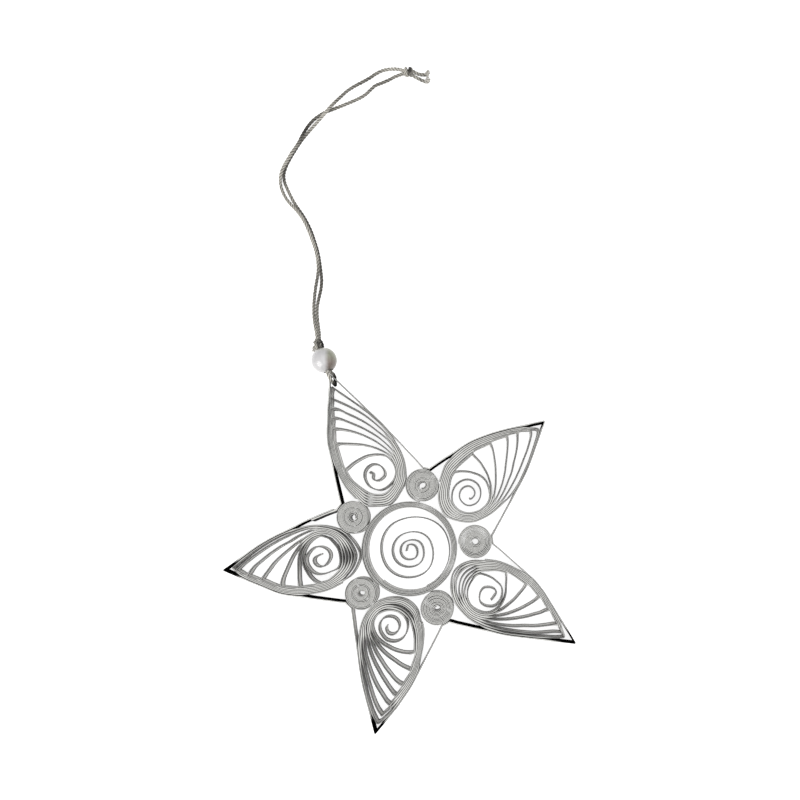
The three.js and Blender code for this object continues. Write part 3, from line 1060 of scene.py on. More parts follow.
PETALS = (
    Petal(
        "petal_1", 90, 1.3, (1, 0, 0), (-0.2, 45.4),
        folds=(-1.25, 41.5, -2.9, 38.4, -4.25, 35.5, -5.1, 32.6, -6.4, 29.4, -7.9, 24.4, -8.5, 15.75),
        outer=(-1.25, -3.35, -5.1, -6.35, -8.0, -9.7, -10.6),
        vanes=(
            (-0.5, 40.4, 0.5, 38.75, 2, 36.25, 3.4, 33.9, 5.1, 30.8, 6.8, 27.2, 8.2, 23.6, 9.2, 20, 9.75,
             16.5, 9.9, 13.8),
            (-2, 37.5, 0, 35.25, 2, 32.75, 3.5, 30.75, 5, 28.25, 6.5, 25.25, 7.75, 22.25, 8.5, 19.25, 9.1,
             16.4, 9.3, 13.8),
            (-3.5, 35.25, -2.25, 34.4, -0.5, 32.25, 1.25, 30.25, 3, 28, 4.5, 25.75, 6, 23, 7.25, 20.5, 8.25,
             17.75, 8.75, 14),
            (-4.5, 32.4, -3, 31.4, -1.25, 29.6, 0.5, 27.75, 2.25, 25.75, 3.75, 23.75, 5.25, 21.5, 6.5, 19,
             7.5, 16.5, 8.15, 13.8),
            (-5.25, 29, -3, 27.6, -1, 26, 1, 24.1, 2.5, 22.4, 4, 20.5, 5.5, 18, 6.75, 15.5, 7.45, 13.4),
            (-7, 24.5, -4.75, 23.5, -2.25, 22.25, 0, 21, 2, 19.5, 3.75, 17.9, 5.25, 16.1, 6.3, 14.4, 6.8,
             12.9),
            (-7.75, 16, -5.5, 16.75, -3, 17.1, -0.5, 17.2, 1.75, 16.7, 3.5, 15.95, 4.9, 15, 5.75, 13.6, 6.3,
             12, 6.45, 10.6),
        ),
        bottom=(
            9.7, 11, 6.95, 11, 9.05, 8.5, 6.5, 8.6, 7.6, 5.2, 5.3, 6.6, 4.5, 2.4, 3.2, 4.8, 0.3, 0.3, 0.1,
            3.75, -4, 1.3, -2.7, 4.7, -6.9, 2.9, -4.8, 6.5,
        ),
        side=(-8.9, 6.3, -6.2, 8.6, -10.1, 10, -7.4, 11, -10.5, 13, -8.2, 13.2),
        curl=(
            6.2, 9, 5.6, 7.85, 4.6, 6.8, 3, 5.9, 1.3, 5.4, 0, 5.35, -1.1, 5.6, -2.1, 6.3, -2.9, 7.1, -3.45,
            8, -3.75, 9, -3.85, 10.1, -3.75, 11.2, -3.3, 12.3, -2.6, 13.15, -1.6, 13.75, -0.5, 14, 0.5,
            13.95, 1.45, 13.5, 2.2, 12.8, 2.7, 11.8, 2.85, 10.8, 2.7, 9.8, 2.2, 9.1, 1.3, 8.7, 0.4, 8.5,
            -0.4, 8.6, -1.1, 9, -1.45, 9.6, -1.25, 10.3, -0.8, 10.9, -0.7, 11.5, -1.05, 11.9, -1.7, 11.65,
        ),
    ),
    Petal(
        "petal_2", 18, 2.7, (1, 0, 0), (-1.0, 43.15),
        folds=(-0.5, 40.15, -2, 38.4, -4.4, 35, -5.9, 31.5, -7.75, 26, -9, 19.5, -8.4, 11.4),
        outer=(-0.5, -2.6, -5.3, -7.3, -9.9, -12, -12.1),
        vanes=(
            (0.5, 39.25, 2, 36.75, 4.5, 32.25, 6.5, 28, 8.25, 23.25, 9, 19.75, 9.25, 16, 9.25, 13.6),
            (-0.75, 37.5, 0.5, 35.75, 2, 33.25, 3.25, 30.75, 4.75, 27.75, 6, 24.75, 7, 22, 7.9, 19, 8.5, 16,
             8.7, 13.5),
            (-3, 33.75, -1.5, 32.25, 0.5, 29.75, 2, 27.5, 3.75, 25, 5.25, 22, 6.5, 19.25, 7.4, 16.6, 8.05,
             13.6),
            (-4.75, 31, -3, 29.4, -1.25, 27.5, 0.5, 25.5, 2, 23.75, 3.5, 21.75, 4.75, 19.75, 6, 17.25, 6.8,
             15.2, 7.45, 12.9),
            (-6.5, 25.75, -4.75, 24.9, -3, 23.75, -1.25, 22.5, 0.25, 21.25, 2, 19.75, 3.5, 18.25, 4.75,
             16.75, 6, 15, 6.95, 12.9),
            (-7.5, 19.6, -5, 19.6, -3, 19.25, -1, 18.75, 0.5, 18.1, 2, 17.4, 3.5, 16.35, 4.75, 15.25, 5.85,
             14, 6.5, 12.5),
            (-7.5, 12.9, -6.25, 14.25, -5, 15.25, -3, 16.4, -1.5, 16.9, 0.25, 16.95, 2, 16.35, 3.4, 15.6,
             4.6, 14.7, 5.5, 13.5, 6, 12, 6.05, 10.5),
        ),
        bottom=(
            9.05, 11, 6.55, 11, 8.5, 8.5, 6.3, 8.8, 7.2, 5.3, 5, 6.1, 4.3, 2.3, 3.1, 4.2, 0, 0.15, 0, 3.55,
            -3.5, 0.9, -2.9, 4.2, -6.5, 2.9, -4.7, 5.4,
        ),
        side=(-9.4, 6, -7, 8.2, -11.2, 9.2, -8.1, 10),
        curl=(
            5.85, 9, 5.25, 7.5, 4.3, 6.1, 3, 5.05, 1.5, 4.4, 0, 4.25, -1.5, 4.45, -2.8, 5.2, -3.9, 6.3,
            -4.55, 7.3, -5, 8.5, -5.15, 9.8, -4.85, 11.4, -4.2, 12.6, -3.1, 13.6, -2, 14.1, -0.9, 14.3, 0.1,
            14.2, 1.1, 13.85, 2, 13.2, 2.8, 12.3, 3.35, 11.2, 3.5, 10, 3.3, 9, 2.85, 8.1, 2.2, 7.4, 1.4, 7,
            0.5, 6.85, -0.5, 6.88, -1.4, 7.2, -2.2, 7.9, -2.75, 8.8, -2.95, 9.8, -2.8, 10.8, -2.3, 11.6,
            -1.55, 12.1, -0.6, 12.25, 0.35, 12.05, 1, 11.55, 1.35, 10.8, 1.4, 9.9, 1.2, 9.3, 0.75, 9.45,
        ),
    ),
    Petal(
        "petal_3", -54, 3.1, (0, 1, 1), (0, 44.2),
        folds=(0, 40.35, -0.8, 39, -2.5, 36.6, -5, 32, -7, 27.4, -8.5, 22, -8.6, 14.5),
        outer=(0, -1.35, -3.5, -6.4, -8.9, -10.8, -10.85),
        vanes=(
            (0.75, 39.5, 2, 37.25, 3.25, 34.75, 4.5, 32.25, 5.6, 29.75, 6.9, 26.75, 8, 24, 9, 20.5, 9.65,
             17, 9.8, 14),
            (0.25, 37, 1.75, 34.75, 3.2, 32.5, 4.5, 30, 5.8, 27, 6.9, 24.2, 8, 21, 8.8, 17.7, 9.15, 14),
            (-1.5, 35.25, 0, 33.25, 1.75, 30.75, 3.25, 28, 4.75, 25.5, 6, 23, 7.1, 20.3, 8, 17.4, 8.5, 14),
            (-4.25, 31.4, -3, 30.5, -1.5, 29, 0, 27.5, 1.75, 25.5, 3.25, 23.5, 4.75, 21.25, 6.1, 18.9, 7.2,
             16.4, 7.95, 13.7),
            (-5.75, 27.1, -4.25, 26.4, -2.75, 25.5, -1, 24.4, 0.5, 23.25, 2, 22, 3.25, 20.75, 4.75, 19, 6,
             17.1, 6.9, 15.2, 7.4, 13.3),
            (-7, 22, -5.25, 21.75, -3.5, 21.4, -1.75, 20.9, 0, 20.25, 1.75, 19.5, 3.25, 18.6, 4.6, 17.5,
             5.8, 16, 6.6, 14.4, 6.9, 13),
            (-8, 15, -6.5, 16, -5, 16.75, -3, 17.75, -1.25, 18.2, 0.25, 18.3, 2, 18.1, 3.5, 17.55, 4.75,
             16.75, 5.7, 15.5, 6.2, 14, 6.35, 12.4),
        ),
        bottom=(
            9.6, 11.5, 6.85, 11.4, 8.85, 8.5, 6.1, 9.1, 7.3, 5, 4.5, 7.1, 4.3, 2, 2.5, 6, 0, 0.3, 0, 5.55,
            -3, 0.85, -2.4, 5.9, -6.2, 3.4, -4.7, 7.2,
        ),
        side=(-8.7, 7, -6.4, 9.6, -10.2, 10.6, -7.7, 11.8),
        curl=(
            6.2, 10.7, 5.6, 9.4, 4.8, 8.45, 3.8, 7.7, 2.5, 7, 1, 6.65, -0.5, 6.6, -2, 6.7, -3.1, 6.95, -3.9,
            7.5, -4.3, 8.3, -4.6, 9.4, -4.8, 10.7, -4.85, 12, -4.65, 13.4, -4.35, 14.7, -3.85, 15.7, -3.1,
            16.4, -2.1, 16.95, -1, 17.3, 0.2, 17.45, 1.3, 17.25, 2.2, 16.85, 2.9, 16.2, 3.4, 15.3, 3.75,
            14.3, 3.8, 13.2, 3.6, 12.3, 3, 11.6, 2.1, 11.1, 1, 10.75, 0, 10.7, -0.8, 10.95, -1.45, 11.6,
            -1.95, 12.5, -2.2, 13.4, -2.15, 14.3, -1.75, 14.95, -1, 15.15, 0, 15.05, 0.8, 14.95, 1.35, 14.8,
        ),
        bottom_spread=(0, 0.17, 0.33, 0.57, 0.8, 1),
    ),
    Petal(
        "petal_4", -126, 4.9, (0, 0, 1), (-1.1, 42.75),
        folds=(-1.2, 39.7, -2, 37.1, -3.75, 33.4, -5.1, 30.25, -6.4, 26.6, -7.75, 21.5, -7.9, 15.85),
        outer=(-1.2, -3.5, -5.7, -7.0, -8.6, -9.95, -10.1),
        vanes=(
            (-0.25, 38.75, 1, 37.1, 2.25, 35, 3.5, 32.75, 5, 29.75, 6.5, 26.2, 7.9, 22.5, 9.1, 18.5, 9.8,
             15.5, 10.05, 13.4),
            (-0.75, 36, 0.5, 34.5, 2, 32.25, 3.25, 30, 4.5, 27.75, 5.75, 25.25, 7, 22.5, 8, 20, 8.9, 17,
             9.4, 13.6),
            (-2.5, 32.75, -1, 31.25, 0.5, 29.75, 2, 28, 3.5, 26, 4.75, 24, 6, 21.75, 7, 19.75, 8, 17, 8.7,
             13.8),
            (-4.25, 29.9, -2.5, 28.5, -1, 27, 0.5, 25.5, 2, 23.75, 3.5, 22, 4.75, 20.25, 6, 18.25, 7.1,
             16.1, 8, 13.6),
            (-5.25, 26.4, -3.5, 25.4, -1.75, 24, 0, 22.5, 1.5, 21, 3, 19.5, 4.5, 17.75, 5.75, 16, 6.8, 14.2,
             7.5, 12.6),
            (-6.25, 21.25, -4.5, 20.75, -2.75, 20, -1, 19.25, 0.5, 18.5, 2, 17.6, 3.5, 16.5, 4.75, 15.4,
             5.9, 14.2, 6.9, 12.6),
            (-7, 16.4, -5.25, 16.75, -3.25, 16.75, -1.25, 16.5, 0.5, 16, 2.25, 15.4, 3.75, 14.6, 5, 13.6,
             5.95, 12.4, 6.55, 11.2),
        ),
        bottom=(
            10.05, 11, 7.25, 10.8, 9.6, 8.2, 7.1, 8.4, 8.1, 4.8, 5.7, 5.6, 5, 1.8, 3.4, 4.05, 0, 0.4, 0,
            3.8, -3.2, 0.95, -2.7, 4.75, -6, 2.9, -4.7, 6.4,
        ),
        side=(-8.3, 6.7, -6, 8.8, -9.4, 9.2, -6.9, 11, -9.95, 12.5, -7.5, 13.5),
        curl=(
            6.85, 9.8, 6.65, 8.6, 6.2, 7.5, 5.4, 6.4, 4.4, 5.5, 3.2, 4.85, 2, 4.5, 0.8, 4.4, -0.4, 4.5,
            -1.6, 4.95, -2.6, 5.6, -3.35, 6.4, -3.9, 7.3, -4.25, 8.4, -4.35, 9.5, -4.2, 10.8, -3.8, 11.9,
            -3.1, 12.9, -2.2, 13.6, -1.1, 14.05, 0.1, 14.15, 1.3, 14, 2.4, 13.4, 3.4, 12.5, 4.15, 11.4, 4.5,
            10.2, 4.45, 9.1, 4.1, 8.1, 3.4, 7.3, 2.5, 6.8, 1.4, 6.6, 0.3, 6.7, -0.6, 7.2, -1.3, 8, -1.7, 9,
            -1.65, 10.1, -1.25, 11, -0.6, 11.7, 0.3, 12, 1.15, 11.9, 1.75, 11.5, 2.15, 10.8, 2.35, 10.2,
            2.15, 9.7,
        ),
        bottom_spread=(0, 0.16, 0.32, 0.48, 0.77, 1),
        side_spread=(0, 0.13, 0.26, 0.39, 0.52, 0.72, 1),
    ),
    Petal(
        "petal_5", 162, 5.5, (1, 1, 1), (0.05, 43.3),
        folds=(0.45, 40.35, -0.35, 39.4, -2.4, 36.25, -4.25, 32, -7.1, 25.9, -7.9, 20.25, -7.4, 14.3),
        outer=(0.45, -0.9, -3.3, -5.7, -8.9, -10.15, -10.2),
        vanes=(
            (1.5, 39, 3, 36.75, 5, 33.5, 6.75, 30, 8.25, 26.5, 9.35, 23.25, 10.15, 20, 10.7, 16.8, 10.8, 14),
            (1, 37.75, 2.25, 35.75, 3.75, 33.25, 5.1, 30.75, 6.4, 28, 7.5, 25.5, 8.5, 22.7, 9.4, 19.8,
             10.05, 16.6, 10.3, 14),
            (-1.25, 35.25, 0.25, 33.75, 1.75, 31.5, 3.25, 29.25, 4.5, 27, 5.75, 24.5, 6.75, 22, 7.9, 19.6,
             8.85, 17, 9.6, 13.8),
            (-3, 31, -1.5, 29.6, 0.25, 28, 1.75, 26.25, 3, 24.5, 4.5, 22.25, 5.75, 20.25, 7, 17.75, 8, 15.6,
             8.9, 13.2),
            (-6.25, 25.9, -4.75, 25.5, -3, 24.6, -1.25, 23.6, 0.5, 22.6, 2, 21.6, 3.5, 20.4, 5, 19, 6.3,
             17.5, 7.4, 15.7, 8.3, 13.4),
            (-6.5, 20.4, -4.75, 20.35, -3, 20.2, -1.25, 20.05, 0.4, 19.85, 2, 19.45, 3.5, 18.8, 5, 17.8,
             6.3, 16.4, 7.3, 14.8, 7.85, 13),
            (-6.4, 15.7, -5.2, 16.7, -3.6, 17.55, -2.1, 18.15, -0.5, 18.5, 1, 18.5, 2.5, 18.2, 3.9, 17.5,
             5.2, 16.5, 6.3, 15.1, 6.95, 13.8, 7.25, 12.4),
        ),
        bottom=(
            10.55, 11.5, 7.95, 11.3, 9.7, 8.5, 7.2, 9, 8, 5.2, 5.4, 7, 4.6, 2.1, 3.1, 6.1, 0.2, 0.35, 0,
            5.75, -3, 1.5, -2.8, 6.3, -6.2, 4.1, -4.6, 7.8,
        ),
        side=(-8.3, 7.3, -6, 9.7, -9.5, 10.4, -7, 11.6),
        curl=(
            6.85, 10.8, 6.15, 9.5, 5, 8.5, 4, 7.8, 2.8, 7.15, 1.5, 6.8, 0, 6.7, -1.2, 6.75, -2.4, 7.05,
            -3.3, 7.7, -3.85, 8.7, -4.2, 10, -4.6, 11.5, -4.75, 13, -4.6, 14.2, -4.15, 15.3, -3.4, 16.2,
            -2.3, 16.95, -1, 17.5, 0.2, 17.6, 1.4, 17.25, 2.6, 16.35, 3.55, 15.2, 4, 14.2, 4.05, 13.1, 3.8,
            12, 3.2, 11, 2.4, 10.2, 1.4, 9.8, 0.3, 9.85, -0.8, 10.4, -1.7, 11.2, -2.3, 12.2, -2.4, 13.1,
            -2.1, 14, -1.3, 14.8, -0.4, 15.1, 0.4, 14.95, 0.95, 14.4, 1.3, 13.5, 1.6, 12.65,
        ),
        bottom_spread=(0, 0.3, 0.47, 0.64, 0.83, 1),
    ),
)

@dataclass(frozen=True)
class Coil:
    """A tight coil between two petals, with the bearings of the frame's two folds outside it."""

    name: str
    bearing: float
    stand_off: float
    folds: tuple[float, float]
    eye: tuple[float, float]
    seed: int


COILS = (
    Coil("tight_coil_1", 54.4, 0, (62.6, 42.2), (0.9, 0.7), 11),
    Coil("tight_coil_2", -18.2, 0.3, (-5.1, -29.6), (0.8, 0.75), 12),
    Coil("tight_coil_3", -89.6, 0, (-72.1, -96.4), (0.8, 0.5), 13),
    Coil("tight_coil_4", -162.2, 0, (-146.6, -173), (0.85, 0.65), 14),
    Coil("tight_coil_5", 126, 0, (132.8, 107.4), (0.65, 0.65), 15),
)


@dataclass
class Star:
    """The quilled star: centre ring, tight coils, petals and the folded frame round them."""

    centre: Line
    strip: PaperStrip = PaperStrip()
    tight: PaperStrip = PaperStrip(thickness=0.3, edge_round=0.07, wobble=0.02)
    ring_radius: float = 15.0
    ring_wall: float = 2.0
    ring_turns: int = 5
    ring_seam: float = 205.0
    ring_seed: int = 5
    spiral_eye: Point = (-0.1, -0.5)
    spiral_reach: Sequence[float] = (12.4, 10.2, 9.0, 8.4, 7.0, 5.7, 5.6, 5.1, 4.1, 3.2, 3.1, 2.8, 2.1, 1.9)
    spiral_hook: Point = (-1.3, -0.1)
    spiral_steps: int = 16
    coil_radius: float = 5.2
    coil_turns: int = 12
    loose_turn: float = 1.45
    turn_steps: int = 56
    groove: float = 0.03
    swell: float = 0.04
    contact: float = 0.2
    clearance: float = 0.3
    foot_gap: float = 0.11
    frame_gap: float = 0.08
    frame_step: float = 0.8
    frame_seed: float = 9.1
    spiral_seed: float = 0.4
    shoulder_end: float = 13.0
    fold_radius: float = 0.16
    tip_lift: float = 1.8
    lift_power: float = 1.5
    lap_length: float = 9.5
    lap_step: float = 1.0
    lean: float = 0.14
    lean_reach: float = 34.0
    lean_start: float = 2.0
    splay: float = 0.04
    splay_reach: float = 30.0
    splay_start: float = 9.0
    # Painted black at the dark tips: how far from a tip it reaches and how softly it fades.
    dark_tip_reach: float = 6.0
    dark_tip_fade: float = 2.0
    loose_crowding: float = 0.78
    least_frame_crowding: float = 0.35
    shaded_frame_crowding: float = 0.5
    shade_limit: float = 1.3

    def standing(self, line: Line) -> Line:
        """Gives a flat path in the ring's axes its place in the frame, at the strips' middle height."""
        return np.column_stack([line + self.centre, np.full(len(line), self.strip.depth / 2)])

    def from_petal(self, petal: Petal, line: Line) -> Line:
        """Brings points of a petal's own axes to the ring's."""
        foot = self.ring_radius + self.clearance + self.foot_gap
        return spun(line + (0, foot), math.radians(petal.axis - 90))

    def wound(self, outer: float, inner: tuple[float, float], turns: int, seam: float, seed: int) -> Line:
        """A tight winding with uneven gaps.

        Args:
            outer: Outer radius.
            inner: Half width and half height of its eye.
            turns: Number of turns.
            seam: Bearing where the outer end lies.
            seed: Seed of the unevenness.

        Returns:
            The path from the eye to the outer end, about the origin.
        """
        random = np.random.default_rng(seed)
        half = self.tight.thickness / 2
        loose = round(turns / 3)
        share = np.cumsum([0, *random.permutation([self.loose_turn] * loose + [1.0] * (turns - loose))])
        t = np.linspace(0, turns, turns * self.turn_steps + 1)
        level = np.interp(t, np.arange(turns + 1), share / share[-1])
        angle = np.radians(seam - 360.0 * (turns - t))
        wide, tall = (size + half + (outer - half - size - half) * level for size in inner)
        return np.column_stack([np.cos(angle) * wide, np.sin(angle) * tall])

    def ring(self) -> list[Line]:
        """The centre ring's winding and the loose spiral in it.

        Returns:
            Both paths.
        """
        inner = self.ring_radius - self.ring_wall
        outer = self.ring_radius + self.contact
        start = (0, -inner + self.strip.thickness / 2)
        return [
            self.wound(outer, (inner, inner), self.ring_turns, self.ring_seam, self.ring_seed),
            loose_spiral(start, self.spiral_eye, self.spiral_reach, self.spiral_hook, self.spiral_steps),
        ]

    def coil_seat(self, coil: Coil) -> Line:
        """Middle of a coil, in the ring's axes."""
        return on_bearing(coil.bearing, self.ring_radius + self.clearance + self.coil_radius + coil.stand_off)

    def coil_corners(self, coil: Coil) -> list[Line]:
        """The two folds of the frame outside a coil."""
        out = self.coil_radius + self.clearance + self.foot_gap
        return [self.coil_seat(coil) + on_bearing(bearing, out) for bearing in coil.folds]

    def frame_tip(self, petal: Petal) -> Line:
        """The frame's tip over a petal."""
        return self.from_petal(petal, np.array(petal.apex, float))

    @staticmethod
    def taut(start: Line, wall: Line, end: Line) -> list[Line]:
        """A strip pulled tight between two points round a wall.

        Args:
            start: Where it starts.
            wall: What it leans on.
            end: Where it ends.

        Returns:
            The corners of its path.
        """
        axis = (end - start) / np.linalg.norm(end - start)

        def height(point: Line) -> float:
            """Distance from the straight line."""
            return float(axis[0] * (point - start)[1] - axis[1] * (point - start)[0])

        bulging = [p for p in [start, *wall, end] if height(p) > -SLACK]
        hull: list[Line] = []
        for point in sorted(bulging, key=lambda p: float((p - start) @ axis)):
            while len(hull) > 1:
                first, second = hull[-1] - hull[-2], point - hull[-1]
                if first[0] * second[1] - first[1] * second[0] < 0:
                    break
                hull.pop()
            hull.append(point)
        return hull

    def frame_path(self) -> Line:
        """The frame's strip from its seam beside tip 5, clockwise round the tips, to its lap.

        Returns:
            Its corners.
        """
        parts: list[list[Line]] = []
        corner = self.coil_corners(COILS[-1])[1]
        for petal, coil in zip(PETALS, COILS):
            tip = self.frame_tip(petal)
            outline = petal.runs()[0]
            top = int(np.argmin(distances(outline, petal.folds[:2])))
            level = top + int(np.argmax(outline[top:, 1] < self.shoulder_end))
            outline = self.from_petal(petal, beside(outline, self.strip.thickness + self.frame_gap))
            before, after = self.coil_corners(coil)
            parts += [self.taut(corner, outline[:top], tip), self.taut(tip, outline[top:level], before)]
            corner = after
            if coil is not COILS[-1]:
                parts.append([corner])
        path = joined(parts)
        seam = path[-1]
        to_tip = (path[-2] - seam) / np.linalg.norm(path[-2] - seam)
        aside = np.array([to_tip[1], -to_tip[0]]) * (self.strip.thickness + self.clearance)
        start = [seam + to_tip * (self.lap_length - self.lap_step), seam]
        end = [seam + to_tip * self.lap_length + aside, seam + to_tip * self.lap_step + aside]
        return np.vstack([start, path[:-1], end])

    def frame(self) -> Line:
        """The folded frame's path, in points near each other.

        Returns:
            The path.
        """
        path = with_round_folds(self.frame_path(), self.fold_radius)
        fine = [path[:1]]
        for a, b in zip(path[:-1], path[1:]):
            count = max(1, math.ceil(float(np.linalg.norm(b - a)) / self.frame_step))
            fine.append(a + (b - a) * np.linspace(0, 1, count + 1)[1:, None])
        return np.vstack(fine)

    def lift(self, path: Line) -> Line:
        """How far the cord lifts each point of the frame, which is most at tip 1.

        Args:
            path: The frame's path.

        Returns:
            A height a point.
        """
        tip = self.frame_tip(PETALS[0])
        reach = float(np.linalg.norm(tip - self.coil_corners(COILS[0])[0]))
        share = unit(1 - distances(path, tip) / reach)
        return self.tip_lift * share**self.lift_power

    def shade(self, path: Line) -> tuple[Line, Line]:
        """How much painted black, a painted reflection of the dark side of the room, each point of the frame gets
        on its inner faces.

        Args:
            path: The frame's path.

        Returns:
            A number a point from 0 to 1 for the painted black on the faces, and one for the painted black that
            covers the cut edges too near a dark tip.
        """
        bearing = np.degrees(np.arctan2(path[:, 1], path[:, 0]))
        turn = np.array([(bearing - petal.axis + 180) % 360 - 180 for petal in PETALS])
        nearest = np.argmin(np.abs(turn), axis=0)
        out, painted_tip_shade = np.zeros(len(path)), np.zeros(len(path))
        for i, petal in enumerate(PETALS):
            here = nearest == i
            before, after, tip = petal.frame_shade
            out[here] = np.where(turn[i][here] > 0, before, after)
            within = self.dark_tip_reach - distances(path, self.frame_tip(petal))
            painted_tip_shade = np.maximum(painted_tip_shade, tip * unit(within / self.dark_tip_fade))
        return np.maximum(out, painted_tip_shade), painted_tip_shade

    def traits(self, gap: Line, strip: PaperStrip, wound: bool) -> dict[str, Line]:
        """What a strip's tree and finish read at each point of its paths.

        Args:
            gap: Distances to the strips on the left and right.
            strip: The strip.
            wound: True for the windings of a coil.

        Returns:
            The traits by name: the room to fill on each side, its tilt, how much painted shade it has and how
                crowded it is.
        """
        near = unit((NEAR - gap) / NEAR_FADE)
        room = np.maximum((gap - strip.thickness - self.groove) / 2, 0) * near + self.swell * (1 - near)
        crowd = near.mean(axis=1)
        if strip is self.tight:
            room[:] = (self.swell * (crowd == 0))[:, None]
        left, right = room.T
        none = np.zeros(len(crowd))
        crowd = crowd if wound else crowd * self.loose_crowding
        return {"room_left": left, "room_right": right, "lean": none, "shade": none, "crowd": crowd}

    def frame_traits(self, path: Line, crowd: Line) -> dict[str, Line]:
        """The frame's own traits: it leans at tip 1, splays where it is painted dark, and gets painted black on
        its inner faces as a painted reflection of the dark side of the room.

        Args:
            path: The frame's path.
            crowd: How crowded it is at each point.

        Returns:
            The traits by name.
        """
        shade, painted_tip_shade = self.shade(path)
        from_tip = distances(path, self.frame_tip(PETALS[0]))
        before_tip = np.arange(len(from_tip)) < np.argmin(from_tip)
        leaning = unit(1 - from_tip / self.lean_reach) * unit(from_tip / self.lean_start) * before_tip
        splayed = shade * (1 - painted_tip_shade) * unit((from_tip - self.splay_start) / self.splay_reach)
        least = self.least_frame_crowding + self.shaded_frame_crowding * shade
        # The shade trait paints black on the inner faces, and near a dark tip on the cut edges too.
        return {
            "lean": self.lean * leaning - self.splay * splayed,
            "shade": shade * unit(self.shade_limit - crowd) + painted_tip_shade,
            "crowd": unit(np.maximum(crowd, least)) * (1 - painted_tip_shade),
        }

    def strips(self) -> list[tuple[str, str, list[Line], float]]:
        """Every paper piece.

        Returns:
            Its name, its CAD node, the paths of its strips in the ring's axes, and its seed.
        """
        strips: list[tuple[str, str, list[Line], float]] = [
            ("folded_frame", "star_frame", [self.frame()], self.frame_seed),
            ("ring_winding", "centre_ring", self.ring(), self.spiral_seed),
        ]
        for petal in PETALS:
            path = self.from_petal(petal, petal.path())
            strips.append((petal.name.replace("_", "_strip_"), petal.name, [path], petal.seed))
        for coil in COILS:
            outer, seam = self.coil_radius + self.contact, coil.bearing + 180
            path = self.wound(outer, coil.eye, self.coil_turns, seam, coil.seed) + self.coil_seat(coil)
            strips.append((coil.name.replace("tight", "wound"), coil.name, [path], coil.seed))
        return strips

    def build(self) -> None:
        """Builds every paper piece."""
        paper = SilverPaper().material()
        strips = self.strips()
        gaps = iter(neighbours([path for _, _, paths, _ in strips for path in paths]))
        for name, node, paths, seed in strips:
            strip = self.tight if name.startswith(("ring", "wound")) else self.strip
            traits = self.traits(np.vstack([next(gaps) for _ in paths]), strip, name.startswith("wound"))
            standing = [self.standing(path) for path in paths]
            if name == "folded_frame":
                standing[0][:, 2] += self.lift(paths[0])
                traits.update(self.frame_traits(paths[0], traits["crowd"]))
            finished(name, strip.mesh(node, standing, traits, seed, paper), "star", [node])


@dataclass(frozen=True)
class Knot:
    """A knot: its middle in the tip's axes, the direction of its axis and the cord it is tied of."""

    name: str
    node: str
    middle: Point
    degrees: float
    cord: TwistedCord
    length: float
    width: float
    steps: int
    seed: float


